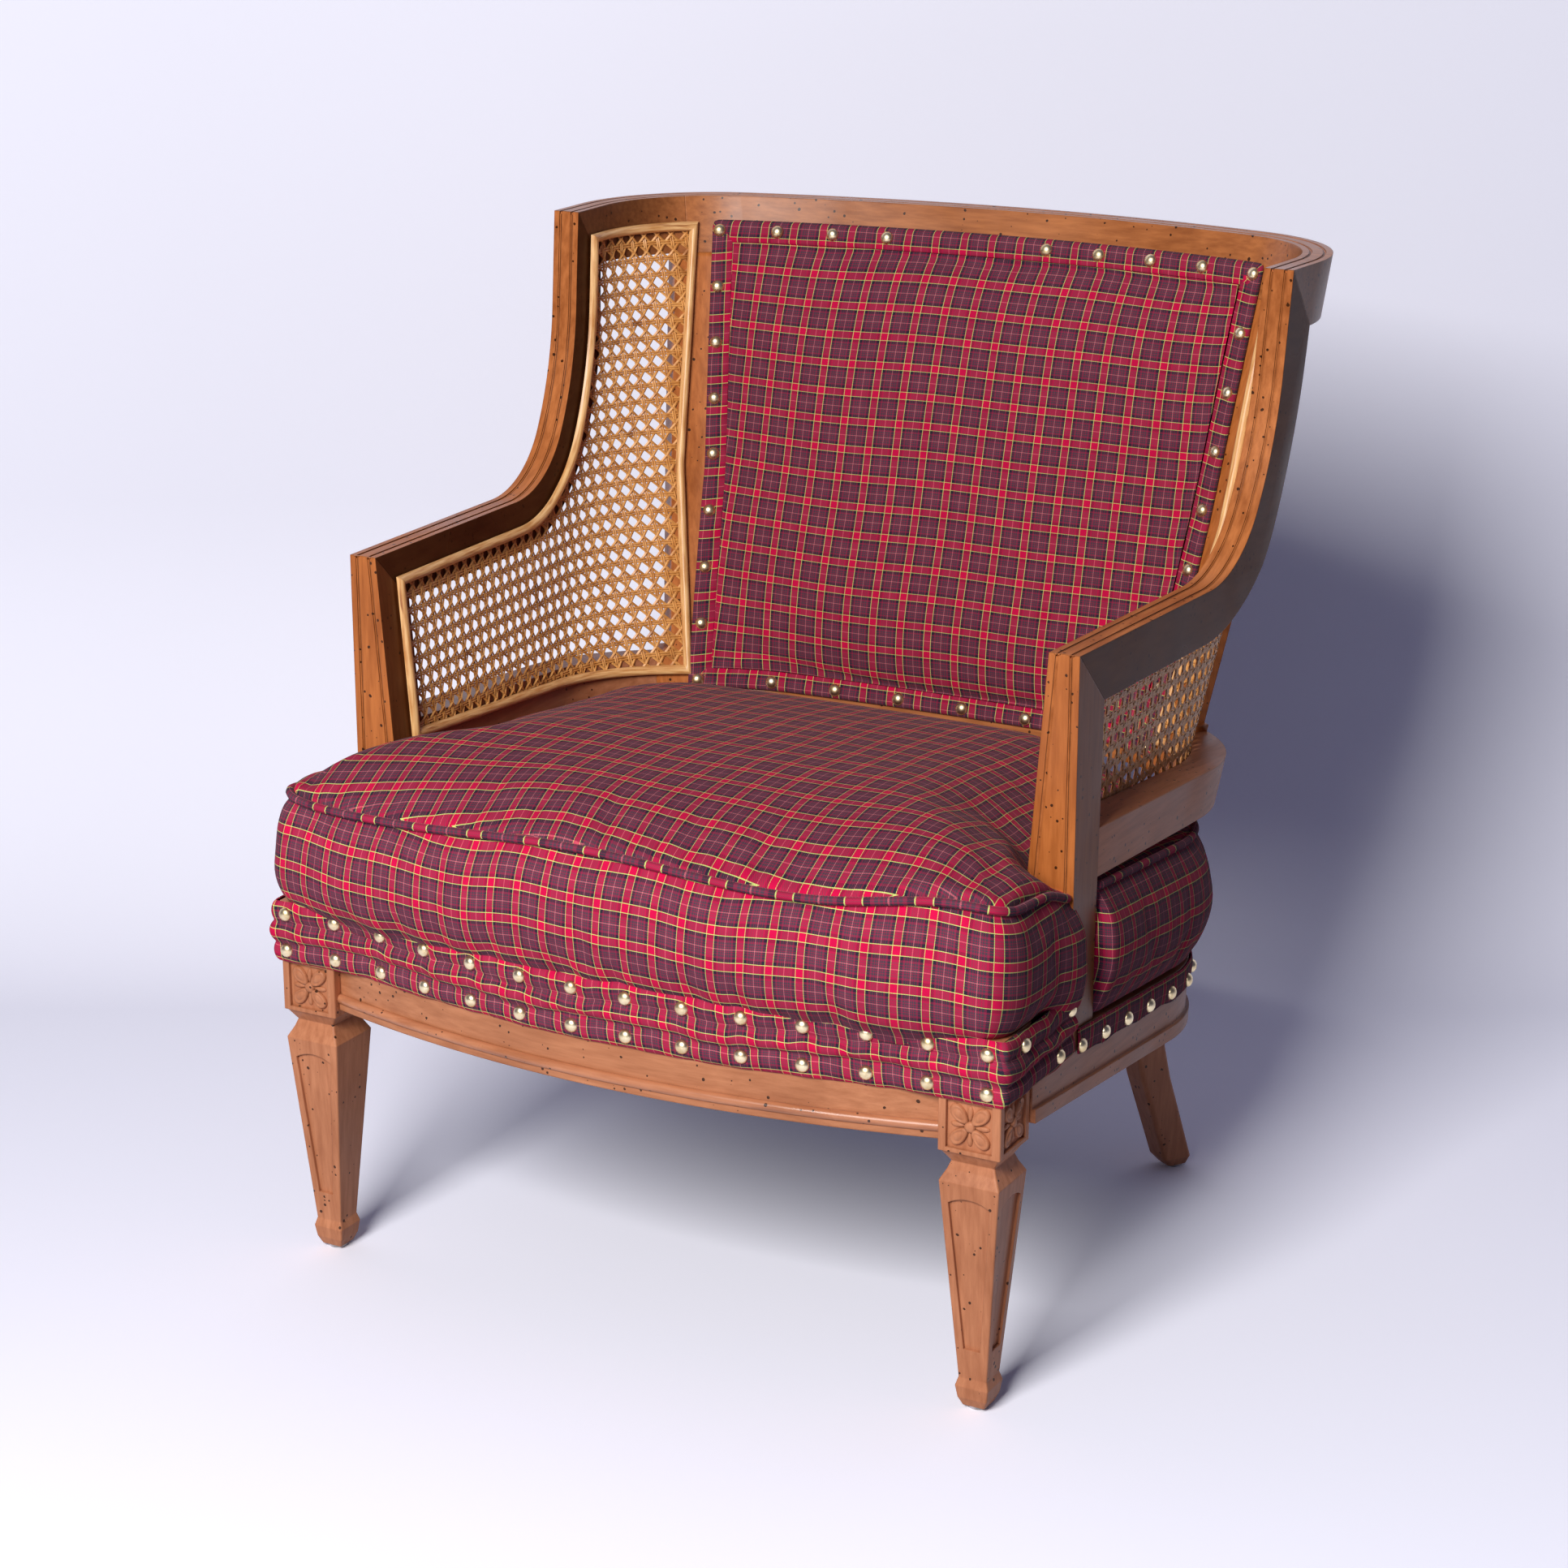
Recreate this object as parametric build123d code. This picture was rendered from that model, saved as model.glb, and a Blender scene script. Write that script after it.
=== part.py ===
from build123d import *
import math
import os

# Lounge chair: a wooden barrel frame with caned sides on two tapered front legs and two raked rear legs,
# with a tight upholstered seat and back, edged with domed nails.
# X runs across the chair, +Y to its back and +Z up; left is -X. All sizes are millimetres.

# Front legs
leg_centre_x = 299.6
leg_block = 51.5
leg_block_bottom = 217.0
leg_height = 311.0
leg_taper_top = 192.0
leg_taper_top_width = 50.0
leg_neck_height = 207.0
leg_neck_width = 36.0
leg_ankle_height = 27.0
leg_ankle_width = 24.0
foot_bulb_height = 20.0
foot_bulb_width = 28.0
foot_tip_width = 19.0
leg_block_chamfer = 2.0
leg_corner_radius = 1.5
leg_panel_depth = 2.5
leg_panel_border = 7.0
leg_panel_bottom = 52.0
leg_panel_top = 180.0
leg_panel_arch = 5.0
rosette_size = 38.0
rosette_depth = 3.0
rosette_centre_height = 239.5
petal_length = 15.0
petal_half_width = 4.6
petal_start = 4.0
petal_relief = 2.2
boss_radius = 3.8
boss_relief = 2.7
glide_height = 3.0
glide_radius = 8.0

# Rear legs
rear_foot_x = 254.0
rear_foot_y = 520.0
rear_top_x = 226.0
rear_top_y = 462.0
rear_leg_curve = 6.0
rear_leg_top_width = 33.0
rear_leg_foot_width = 28.0
rear_foot_tip_width = 20.0
rear_foot_round = 8.0
rear_leg_edge_radius = 4.5
rear_leg_turn = 57.0

# Seat frame; the side and rear rails and the seat fall towards the back by the seat pitch
seat_pitch = 5.5
seat_pivot_y = 124.0
rail_top = 278.0
rail_height = 55.0
rail_thickness = 28.0
rail_outer_x = 327.0
rail_corner_radius = 190.0
rail_back_y = 515.0
rail_back_radius = 2500.0
rail_bead_height = 11.0
rail_bead_proud = 3.0
rail_joint_angle = 66.0
front_rail_bottom = 223.0
front_rail_front_y = -29.0
front_rail_bow_radius = 1000.0
front_rail_thickness = 30.0
front_rail_lip = 16.0
front_rail_bead_height = 13.0
front_rail_bead_proud = 2.5
webbing_ledge = 284.0
corner_block_height = 40.0
corner_block_leg = 88.0
rear_block_depth = 30.0
rear_block_angle = 9.0
screw_radius = 2.4
screw_head_radius = 4.8
screw_head_height = 3.0
screw_length = 46.0
side_screw_setback = 55.0
front_screw_setback = 6.0
bolt_radius = 4.0
bolt_length = 70.0
bolt_in_leg = 45.0
bolt_inset = 9.0

# Barrel frame of posts, arms, wings, crest, stiles and mid rail
post_outer_x = 327.0
post_front_y = 118.0
arm_top = 575.0
arm_depth = 44.0
arm_thickness = 25.0
post_foot_thickness = 42.3
arm_sweep_start_y = 345.0
arm_sweep_radius = 96.0
arm_sweep_turn = 60.0
wing_radius = 272.0
wing_turn = 23.5
crest_top = 811.0
crest_height = 50.0
crest_back_y = 689.0
crest_back_radius = 1000.0
crest_corner_radius = 130.0
crest_toe = 0.0593
arm_back_y = 621.0
arm_back_radius = 1500.0
arm_corner_radius = 163.0
arm_toe = 0.0465
barrel_bottom = 350.0
barrel_foot_back_y = 555.0
barrel_foot_back_radius = 2500.0
barrel_foot_corner_radius = 190.0
barrel_foot_toe = -0.0156
barrel_foot_inner_toe = 0.028
barrel_foot_thickness = 27.0
mid_rail_top = 430.0
mid_rail_height = 39.0
mid_rail_pitch = 3.8
stile_width = 72.0
stile_foot_angle = 57.0
stile_top_angle = 53.0
crest_joint_angle = 47.0
moulding_width = 2.6
moulding_depth = 2.4
moulding_inset = 5.5
dowel_radius = 4.0
dowel_length = 34.0
stile_dowel_angle = 41.0

# Caned sides
cane_thickness = 1.8
cane_front_y = 143.0
cane_arm_inset = 21.0
cane_top = 789.0
cane_bottom_overlap = 16.0
cane_bead_width = 9.0
cane_bead_height = 5.0
cane_pitch = 24.0
cane_hole = 15.0
cane_hole_margin = 6.0
cane_stile_lap = 18.0

# Seat upholstery
cloth_thickness = 3.0
seat_front_y = -40.0
seat_front_radius = 1550.0
seat_front_corner_radius = 26.0
seat_half_width = 326.0
seat_edge_height = 106.0
seat_bulge_height = 42.0
seat_side_bulge = 15.0
seat_upper_bulge_height = 83.0
seat_upper_bulge = 11.0
welt_draw = 2.0
seat_shoulder_height = 112.0
seat_shoulder_inset = 30.0
seat_dome_height = 141.0
seat_dome_inset = 78.0
seat_brow_height = 159.0
seat_brow_inset = 116.0
seat_crown_height = 165.0
seat_crown_inset = 150.0
welt_radius = 4.0
band_bottom = 262.0
band_top = 311.0
band_thickness = 4.0
edge_strip_height = 20.0
edge_strip_thickness = 2.4
edge_strip_start_y = 130.0
webbing_width = 50.0
webbing_thickness = 1.4
webbing_lap = 14.0
webbing_long_count = 5
webbing_long_spacing = 95.0
webbing_cross_count = 4
webbing_cross_start_y = 205.0
webbing_cross_spacing = 72.0
burlap_thickness = 1.0
dust_cover_thickness = 1.0
dust_cover_inset = 12.0

# Back upholstery
back_border_width = 17.0
back_border_thickness = 2.0
back_foot_half_width = 230.0
back_top_half_width = 268.0
back_foot_height = 379.0
back_top_height = 790.0
back_crown = 40.0
back_edge_crown = 13.0
back_roll_run = 22.0
back_roll_share = 0.55
back_shoulder_run = 74.0
back_shoulder_share = 0.9
back_pad_gap = 2.0
outer_back_foot_half_width = 248.0
outer_back_top_half_width = 298.0
outer_back_foot_height = 412.0
outer_back_top_height = 775.0
back_webbing_spacing = 92.0
back_webbing_count = 4

# Domed nails
nail_radius = 4.8
nail_height = 3.2
nail_waist_radius = 3.8
nail_crown_radius = 1.6
nail_sink = 0.6
nail_sides = 8
front_nail_count = 14
front_nail_reach = 316.0
front_nail_upper = 302.0
front_nail_lower = 271.0
band_nail_front_y = 26.0
band_nail_back_y = 108.0
band_nail_low_y = 89.0
side_nail_drop = 13.0
side_nail_spacing = 46.0
back_nail_spacing = 50.0
back_nail_count = 11
back_nails_lost = (4, 5)
back_foot_nail_count = 8

# Clearances
touch = 0.3
reach = 900.0
back_web_depth = 2 * webbing_thickness + 3 * touch

left_side = Plane.YZ
nodes = {}


def add(name, *shapes):
    """Keep the solids of the shapes under the name of one sub-part."""
    solids = []
    for shape in shapes:
        solids.extend(shape.solids())
    nodes[name] = solids


def add_pair(name, *shapes):
    """Keep a sub-part of the right side, and its mirror image on the left."""
    add(name + "_right", *shapes)
    add(name + "_left", *[shape.mirror(left_side) for shape in shapes])


def largest(shape):
    return max(shape.solids(), key=lambda solid: solid.volume)


def between(low, high, share):
    return low + (high - low) * share


class Horseshoe:
    """Right half of a horseshoe outline: a side line, a corner arc and a shallow arc across the back."""

    def __init__(self, front_x, front_y, toe, corner_radius, back_y, back_radius):
        turn = math.atan(toe)
        self.front = Vector(front_x, front_y)
        self.along = Vector(math.sin(turn), math.cos(turn))
        self.out = Vector(math.cos(turn), -math.sin(turn))
        self.corner_radius = corner_radius
        self.back_radius = back_radius
        self.back_centre = Vector(0, back_y - back_radius)
        start = self.front - self.out * corner_radius - self.back_centre
        run = start.dot(self.along)
        run = math.sqrt(run**2 - start.dot(start) + (back_radius - corner_radius) ** 2) - run
        self.corner_centre = self.front + self.along * run - self.out * corner_radius
        apart = self.corner_centre - self.back_centre
        self.first_angle = -math.degrees(turn)
        self.last_angle = math.degrees(math.atan2(apart.Y, apart.X))

    def start(self, inset):
        return self.front - self.out * inset

    def on_corner(self, inset, angle):
        direction = Vector(math.cos(math.radians(angle)), math.sin(math.radians(angle)))
        return self.corner_centre + direction * (self.corner_radius - inset)

    def on_back(self, inset, angle):
        direction = Vector(math.cos(math.radians(angle)), math.sin(math.radians(angle)))
        return self.back_centre + direction * (self.back_radius - inset)

    def y_at(self, x, inset):
        """Place of the back or the corner at a distance x from the middle."""
        tangent = self.on_back(inset, self.last_angle)
        if abs(x) <= tangent.X:
            radius = self.back_radius - inset
            return self.back_centre.Y + math.sqrt(radius**2 - x**2)
        radius = self.corner_radius - inset
        return self.corner_centre.Y + math.sqrt(radius**2 - (abs(x) - self.corner_centre.X) ** 2)

    def x_at(self, y, inset):
        """Half width of the outline at a place along the side or the corner."""
        if y <= self.on_corner(inset, self.first_angle).Y:
            start = self.start(inset)
            return start.X + (y - start.Y) * self.along.X / self.along.Y
        radius = self.corner_radius - inset
        return self.corner_centre.X + math.sqrt(radius**2 - (y - self.corner_centre.Y) ** 2)

    def edges(self, inset, height, first=None, last=90.0):
        """Edges from the front end, or from an angle on the corner, to an angle on the corner or the back."""
        def at(point):
            return (point.X, point.Y, height)

        result = []
        corner_from = self.first_angle
        if first is None:
            result.append(Line(at(self.start(inset)), at(self.on_corner(inset, self.first_angle))))
        else:
            corner_from = first
        corner_to = min(last, self.last_angle)
        middle = (corner_from + corner_to) / 2
        ends = [at(self.on_corner(inset, angle)) for angle in (corner_from, middle, corner_to)]
        result.append(ThreePointArc(*ends))
        if last > self.last_angle:
            middle = (self.last_angle + last) / 2
            ends = [at(self.on_back(inset, angle)) for angle in (self.last_angle, middle, last)]
            result.append(ThreePointArc(*ends))
        return result


def closed(outer, inner):
    """Wire of two edge runs joined at both ends."""
    return Wire(outer + inner + [Line(outer[0] @ 0, inner[0] @ 0), Line(outer[-1] @ 1, inner[-1] @ 1)])


def ring_part(shape, outer_inset, inner_inset, bottom, top, first=None, last=90.0):
    """Upright wall between two insets of a horseshoe, on the right side."""
    outer = shape.edges(outer_inset, bottom, first, last)
    wire = closed(outer, shape.edges(inner_inset, bottom, first, last))
    return extrude(Face(wire), amount=top - bottom, dir=(0, 0, 1))


def slab(bottom, top):
    return Pos(0, 0, (bottom + top) / 2) * Box(2 * reach, 2 * reach, top - bottom)


def tilt(pitch, pivot_y, height):
    """Place of level work that falls towards the back about a line across the chair."""
    return Pos(0, pivot_y, height) * Rot(-pitch, 0, 0) * Pos(0, -pivot_y, 0)


# Barrel levels: the foot below the mid rail, the arm's height and the top of the crest
post_inner_foot_x = post_outer_x - post_foot_thickness
outer_levels = [
    (barrel_bottom, Horseshoe(post_outer_x, post_front_y, barrel_foot_toe, barrel_foot_corner_radius,
                              barrel_foot_back_y, barrel_foot_back_radius)),
    (arm_top, Horseshoe(post_outer_x, post_front_y, arm_toe, arm_corner_radius, arm_back_y, arm_back_radius)),
    (crest_top, Horseshoe(post_outer_x, post_front_y, crest_toe, crest_corner_radius,
                          crest_back_y, crest_back_radius)),
]
inner_levels = [
    (barrel_bottom, Horseshoe(post_inner_foot_x, post_front_y, barrel_foot_inner_toe,
                              barrel_foot_corner_radius - barrel_foot_thickness,
                              barrel_foot_back_y - barrel_foot_thickness,
                              barrel_foot_back_radius - barrel_foot_thickness)),
    (arm_top, Horseshoe(post_outer_x - arm_thickness, post_front_y, arm_toe,
                        arm_corner_radius - arm_thickness, arm_back_y - arm_thickness,
                        arm_back_radius - arm_thickness)),
    (crest_top, Horseshoe(post_outer_x - arm_thickness, post_front_y, crest_toe,
                          crest_corner_radius - arm_thickness, crest_back_y - arm_thickness,
                          crest_back_radius - arm_thickness)),
]


def barrel(outer, outer_inset, inner, inner_inset):
    """Right half of a leaning wall between two families of horseshoes."""
    wires = []
    for (height, first), (_, second) in zip(outer, inner):
        wires.append(closed(first.edges(outer_inset, height), second.edges(inner_inset, height)))
    return Solid.make_loft(wires, ruled=True)


def inner_y(x, height, inset):
    """Place of the barrel's inner face across the back, at a height."""
    for (low, first), (high, second) in zip(inner_levels, inner_levels[1:]):
        if height <= high:
            break
    return between(first.y_at(x, inset), second.y_at(x, inset), (height - low) / (high - low))


def outer_y(x, height, inset):
    """Place of the barrel's outer face across the back, at a height."""
    for (low, first), (high, second) in zip(outer_levels, outer_levels[1:]):
        if height <= high:
            break
    return between(first.y_at(x, inset), second.y_at(x, inset), (height - low) / (high - low))


def sweep_edge(depth, start_y, end_height):
    """Side view of the arm and wing at a depth below their top and front edge, as edges in Y and Z."""
    rise = math.radians(arm_sweep_turn - 90)
    lean = math.radians(arm_sweep_turn + wing_turn - 90)
    centre = Vector(arm_sweep_start_y, arm_top + arm_sweep_radius)
    toward = Vector(math.cos(rise), math.sin(rise))
    wing_centre = centre + toward * (arm_sweep_radius - wing_radius)

    def on_arc(middle, radius, angle):
        return middle + Vector(math.cos(angle), math.sin(angle)) * (radius + depth)

    low = Vector(start_y, arm_top - depth)
    bend = Vector(arm_sweep_start_y, arm_top - depth)
    swept = on_arc(centre, arm_sweep_radius, rise)
    wing_end = on_arc(wing_centre, wing_radius, lean)
    top = Vector(wing_end.X - (end_height - wing_end.Y) * math.tan(lean), end_height)
    return [
        Line(low, bend),
        ThreePointArc(bend, on_arc(centre, arm_sweep_radius, (rise - math.pi / 2) / 2), swept),
        ThreePointArc(swept, on_arc(wing_centre, wing_radius, (rise + lean) / 2), wing_end),
        Line(wing_end, top),
    ]


def side_prism(wire):
    """Right half of the space inside an outline drawn in Y and Z."""
    return extrude(Plane.YZ * Face(wire), amount=reach, dir=(1, 0, 0))


def arm_band(shallow, deep):
    """Outline between two depths below the arm's edge, mitred to the post and to the crest."""
    top = [sweep_edge(depth, post_front_y + depth, crest_top - depth * crest_height / arm_depth)
           for depth in (shallow, deep)]
    return side_prism(closed(*top))


def crest_outline():
    """Space of the crest behind its mitre with the wing."""
    front = sweep_edge(0, post_front_y, crest_top)[-1] @ 1
    back = sweep_edge(arm_depth, post_front_y, crest_top - crest_height)[-1] @ 1
    corners = [(front.X, crest_top), (reach, crest_top), (reach, back.Y), (back.X, back.Y)]
    return side_prism(Wire(Polyline(*corners, close=True).edges()))


def stile_strip(width, shift=0.0, depth=4 * arm_depth):
    """Space of the stile's width, through the wall and over the barrel's whole height."""
    wires = []
    for (height, shape), angle in ((outer_levels[0], stile_foot_angle), (outer_levels[-1], stile_top_angle)):
        middle = shape.on_corner(arm_thickness / 2, angle)
        place = Pos(middle.X, middle.Y, height) * Rot(0, 0, angle)
        wires.append((place * Pos(0, shift, 0) * Rectangle(depth, width)).wire())
    return Solid.make_loft(wires, ruled=True)


def rail_shape():
    return Horseshoe(rail_outer_x, 0, 0, rail_corner_radius, rail_back_y, rail_back_radius)


seat_tilt = tilt(seat_pitch, seat_pivot_y, rail_top)
mid_tilt = tilt(mid_rail_pitch, post_front_y + arm_depth, mid_rail_top)
leg_back_y = leg_block
leg_inner_x = leg_centre_x - leg_block / 2


def front_leg():
    """Square leg: round-tipped foot, tapered shaft with sunk panels, hollow neck, and a carved block."""
    middle_y = leg_block / 2
    neck_rise = (leg_block_bottom - leg_taper_top) / 2
    profile = [
        (glide_height, foot_tip_width),
        (foot_bulb_height / 2, (foot_tip_width + 2 * foot_bulb_width) / 3),
        (foot_bulb_height, foot_bulb_width),
        (leg_ankle_height, leg_ankle_width),
        (leg_taper_top, leg_taper_top_width),
        (leg_neck_height - neck_rise / 2, (leg_taper_top_width + 2 * leg_neck_width) / 3),
        (leg_neck_height, leg_neck_width),
        (leg_block_bottom - leg_block_chamfer / 2, leg_block - 2 * leg_block_chamfer),
        (leg_block_bottom, leg_block),
        (leg_height, leg_block),
    ]
    sections = [Pos(leg_centre_x, middle_y, height) * RectangleRounded(width, width, leg_corner_radius)
                for height, width in profile]
    leg = loft(sections, ruled=True)
    taper = math.atan((leg_taper_top_width - leg_ankle_width) / 2 / (leg_taper_top - leg_ankle_height))

    def shaft_width(height):
        share = (height - leg_ankle_height) / (leg_taper_top - leg_ankle_height)
        return between(leg_ankle_width, leg_taper_top_width, share)

    panel_middle = (leg_panel_bottom + leg_panel_top) / 2
    half_height = (leg_panel_top - leg_panel_bottom) / 2 / math.cos(taper)
    foot_half = shaft_width(leg_panel_bottom) / 2 - leg_panel_border
    head_half = shaft_width(leg_panel_top) / 2 - leg_panel_border
    shaft_face = Plane(origin=(0, -shaft_width(panel_middle) / 2, panel_middle), x_dir=(1, 0, 0),
                       z_dir=(0, -math.cos(taper), -math.sin(taper)))
    shoulder = half_height - leg_panel_arch
    panel_edges = [
        Line((-foot_half, -half_height), (foot_half, -half_height)),
        Line((foot_half, -half_height), (head_half, shoulder)),
        ThreePointArc((head_half, shoulder), (0, half_height), (-head_half, shoulder)),
        Line((-head_half, shoulder), (-foot_half, -half_height)),
    ]
    sunk_panel = extrude(shaft_face * Face(Wire(panel_edges)), amount=leg_panel_depth, both=True)
    block_face = Plane(origin=(0, -leg_block / 2, rosette_centre_height), x_dir=(1, 0, 0), z_dir=(0, -1, 0))
    recess = extrude(block_face * Rectangle(rosette_size, rosette_size), amount=rosette_depth, both=True)
    petal_tip = petal_start + petal_length
    petal_middle = (petal_start + petal_tip) / 2
    petal = Face(Wire([
        ThreePointArc((petal_start, 0), (petal_middle, petal_half_width), (petal_tip, 0)),
        ThreePointArc((petal_tip, 0), (petal_middle, -petal_half_width), (petal_start, 0)),
    ]))
    floor = block_face.offset(-rosette_depth)
    outward = (0, -1, 0)
    carving = [extrude(floor * (Rot(0, 0, 45 + 90 * turn) * petal), amount=petal_relief, dir=outward)
               for turn in range(4)]
    carving.append(extrude(floor * Circle(boss_radius), amount=boss_relief, dir=outward))
    for turn in (0, 90):
        place = Pos(leg_centre_x, middle_y, 0) * Rot(0, 0, turn)
        leg = leg - place * sunk_panel - place * recess
        for piece in carving:
            leg = leg + place * piece
    return leg


def rear_leg_middle(height):
    """Centre of the rear leg at a height: a straight rake with a slight sabre curve."""
    share = height / (rail_top - rail_height)
    bow = rear_leg_curve * math.sin(math.pi * share)
    lean = Vector(rear_top_x - rear_foot_x, rear_top_y - rear_foot_y)
    return Vector(rear_foot_x, rear_foot_y) + lean * share + lean.normalized() * bow


def rear_leg(below_rail):
    """Raked rear leg, turned to the corner of the seat, cut to the slope of the rail that it carries."""
    top = rail_top
    sections = []
    for height, width in (
        (glide_height, rear_foot_tip_width),
        (glide_height + rear_foot_round, rear_leg_foot_width),
        (top / 3, between(rear_leg_foot_width, rear_leg_top_width, 1 / 3)),
        (2 * top / 3, between(rear_leg_foot_width, rear_leg_top_width, 2 / 3)),
        (top, rear_leg_top_width),
    ):
        middle = rear_leg_middle(height)
        place = Pos(middle.X, middle.Y, height) * Rot(0, 0, rear_leg_turn)
        sections.append(place * RectangleRounded(width, width, rear_leg_edge_radius))
    return largest(loft(sections, ruled=True) & below_rail)


def glide(x, y):
    return Pos(x, y, glide_height / 2) * Cylinder(glide_radius, glide_height)


def front_rail():
    """Bowed front rail with a lip that stands in front of the webbing and a low moulding along its foot."""
    half = leg_inner_x
    centre_y = front_rail_front_y + front_rail_bow_radius

    def bowed(front_inset, back_inset, bottom, top):
        edges = []
        for inset in (front_inset, back_inset):
            radius = front_rail_bow_radius - inset
            end_y = centre_y - math.sqrt(radius**2 - half**2)
            edges.append([ThreePointArc((-half, end_y, bottom), (0, centre_y - radius, bottom),
                                        (half, end_y, bottom))])
        return extrude(Face(closed(*edges)), amount=top - bottom, dir=(0, 0, 1))

    bead_top = front_rail_bottom + front_rail_bead_height
    rail = bowed(0, front_rail_thickness, front_rail_bottom, webbing_ledge)
    rail = rail + bowed(0, front_rail_lip, webbing_ledge, leg_height)
    return rail + bowed(-front_rail_bead_proud, 0, front_rail_bottom, bead_top)


def seat_rails():
    """Side and rear seat rails with a bead along their lower edge, before their holes are drilled."""
    shape = rail_shape()
    bead_top = rail_bead_height - rail_height
    behind_leg = Pos(0, leg_back_y + reach, 0) * Box(2 * reach, 2 * reach, 2 * reach)
    side = ring_part(shape, 0, rail_thickness, -rail_height, 0, None, rail_joint_angle)
    side = side + ring_part(shape, -rail_bead_proud, 0, -rail_height, bead_top, None, rail_joint_angle)
    rear = ring_part(shape, 0, rail_thickness, -rail_height, 0, rail_joint_angle)
    rear = rear + ring_part(shape, -rail_bead_proud, 0, -rail_height, bead_top, rail_joint_angle)
    side = largest((seat_tilt * side) & behind_leg)
    rear = seat_tilt * rear
    return side, rear + rear.mirror(left_side)


def domed_nail():
    """Low-sided dome on a short shank, its underside at the origin and its dome towards +Z."""
    rim = RegularPolygon(nail_radius, nail_sides)
    waist = Pos(0, 0, nail_height / 2) * RegularPolygon(nail_waist_radius, nail_sides)
    crown = Pos(0, 0, nail_height) * RegularPolygon(nail_crown_radius, nail_sides)
    return loft([rim, waist, crown], ruled=True)


def nail_at(point, outward):
    """Nail on a face, sunk a little so that the face itself can trim its underside."""
    return Plane(origin=point, z_dir=outward).location * Pos(0, 0, -nail_sink) * domed_nail()


def arm_post(wall, above_rail):
    """Post that widens inwards below the arm, mitred to it, with two grooves down its front face."""
    foot = rail_top - rail_height
    back = post_front_y + arm_depth
    inner_x = post_outer_x - arm_thickness
    mitre = [(post_front_y, foot), (back, foot), (back, arm_top - arm_depth), (post_front_y, arm_top)]
    outline = side_prism(Wire(Polyline(*mitre, close=True).edges()))
    outer = outer_levels[0][1]
    inner = inner_levels[0][1]
    plan = Polyline((outer.x_at(post_front_y, 0), post_front_y, foot), (outer.x_at(back, 0), back, foot),
                    (inner.x_at(back, 0), back, foot), (inner.x_at(post_front_y, 0), post_front_y, foot),
                    close=True)
    stump = extrude(Face(Wire(plan.edges())), amount=barrel_bottom - foot, dir=(0, 0, 1))
    post = (wall & outline) + (stump & above_rail)

    def groove(top_x, foot_x):
        corners = [(top_x, arm_top), (foot_x, barrel_bottom), (foot_x, foot), (foot_x + moulding_width, foot),
                   (foot_x + moulding_width, barrel_bottom), (top_x + moulding_width, arm_top)]
        line = Polyline(*[(x, post_front_y, height) for x, height in corners], close=True)
        return extrude(Face(Wire(line.edges())), amount=moulding_depth, dir=(0, 1, 0))

    outer_groove = post_outer_x - moulding_inset - moulding_width
    post = post - groove(outer_groove, outer_groove)
    return largest(post - groove(inner_x + moulding_inset, post_inner_foot_x + moulding_inset))


def cane_space(inset):
    """Outline of the caned side in side view, drawn in by an inset: post, arm, wing, crest and mid rail."""
    front = cane_front_y + inset
    top = cane_top - inset
    sweep = sweep_edge(cane_arm_inset + inset, front, top)
    low = barrel_bottom
    rest = Polyline(sweep[-1] @ 1, (reach, top), (reach, low), (front, low), sweep[0] @ 0)
    above = mid_tilt * slab(inset - cane_bottom_overlap, reach)
    return side_prism(Wire(sweep + rest.edges())) & above


def behind_stile(lap):
    """Space behind a line on the stile, a lap behind the stile's front edge."""
    return stile_strip(reach, lap - stile_width / 2 + reach / 2, reach)


def cane_hole_places():
    """Side-view places of the cane's open squares that lie clear of the bead."""
    margin = cane_bead_width + cane_hole / 2 + cane_hole_margin
    depth = cane_arm_inset + margin
    rise = math.radians(arm_sweep_turn - 90)
    centre = Vector(arm_sweep_start_y, arm_top + arm_sweep_radius)
    wing_centre = centre + Vector(math.cos(rise), math.sin(rise)) * (arm_sweep_radius - wing_radius)
    stile_foot = outer_levels[0][1].on_corner(arm_thickness, stile_foot_angle).Y
    stile_head = outer_levels[-1][1].on_corner(arm_thickness, stile_top_angle).Y
    places = []
    columns = int((reach - cane_front_y) / cane_pitch)
    rows = int((cane_top - barrel_bottom) / cane_pitch)
    for column in range(columns):
        y = cane_front_y + margin + column * cane_pitch
        for row in range(rows):
            height = barrel_bottom + row * cane_pitch
            fall = math.tan(math.radians(mid_rail_pitch)) * (y - post_front_y - arm_depth)
            share = (height - barrel_bottom) / (crest_top - barrel_bottom)
            place = Vector(y, height)
            clear = height > mid_rail_top - fall - cane_bottom_overlap + margin
            clear = clear and height < cane_top - margin
            clear = clear and y < between(stile_foot, stile_head, share) - stile_width / 2 - cane_hole
            if y <= arm_sweep_start_y:
                clear = clear and height < arm_top - depth
            else:
                clear = clear and (place - centre).length > arm_sweep_radius + depth
                if height > arm_top:
                    clear = clear and (place - wing_centre).length > wing_radius + depth
            if clear:
                places.append((y, height))
    return places


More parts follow.
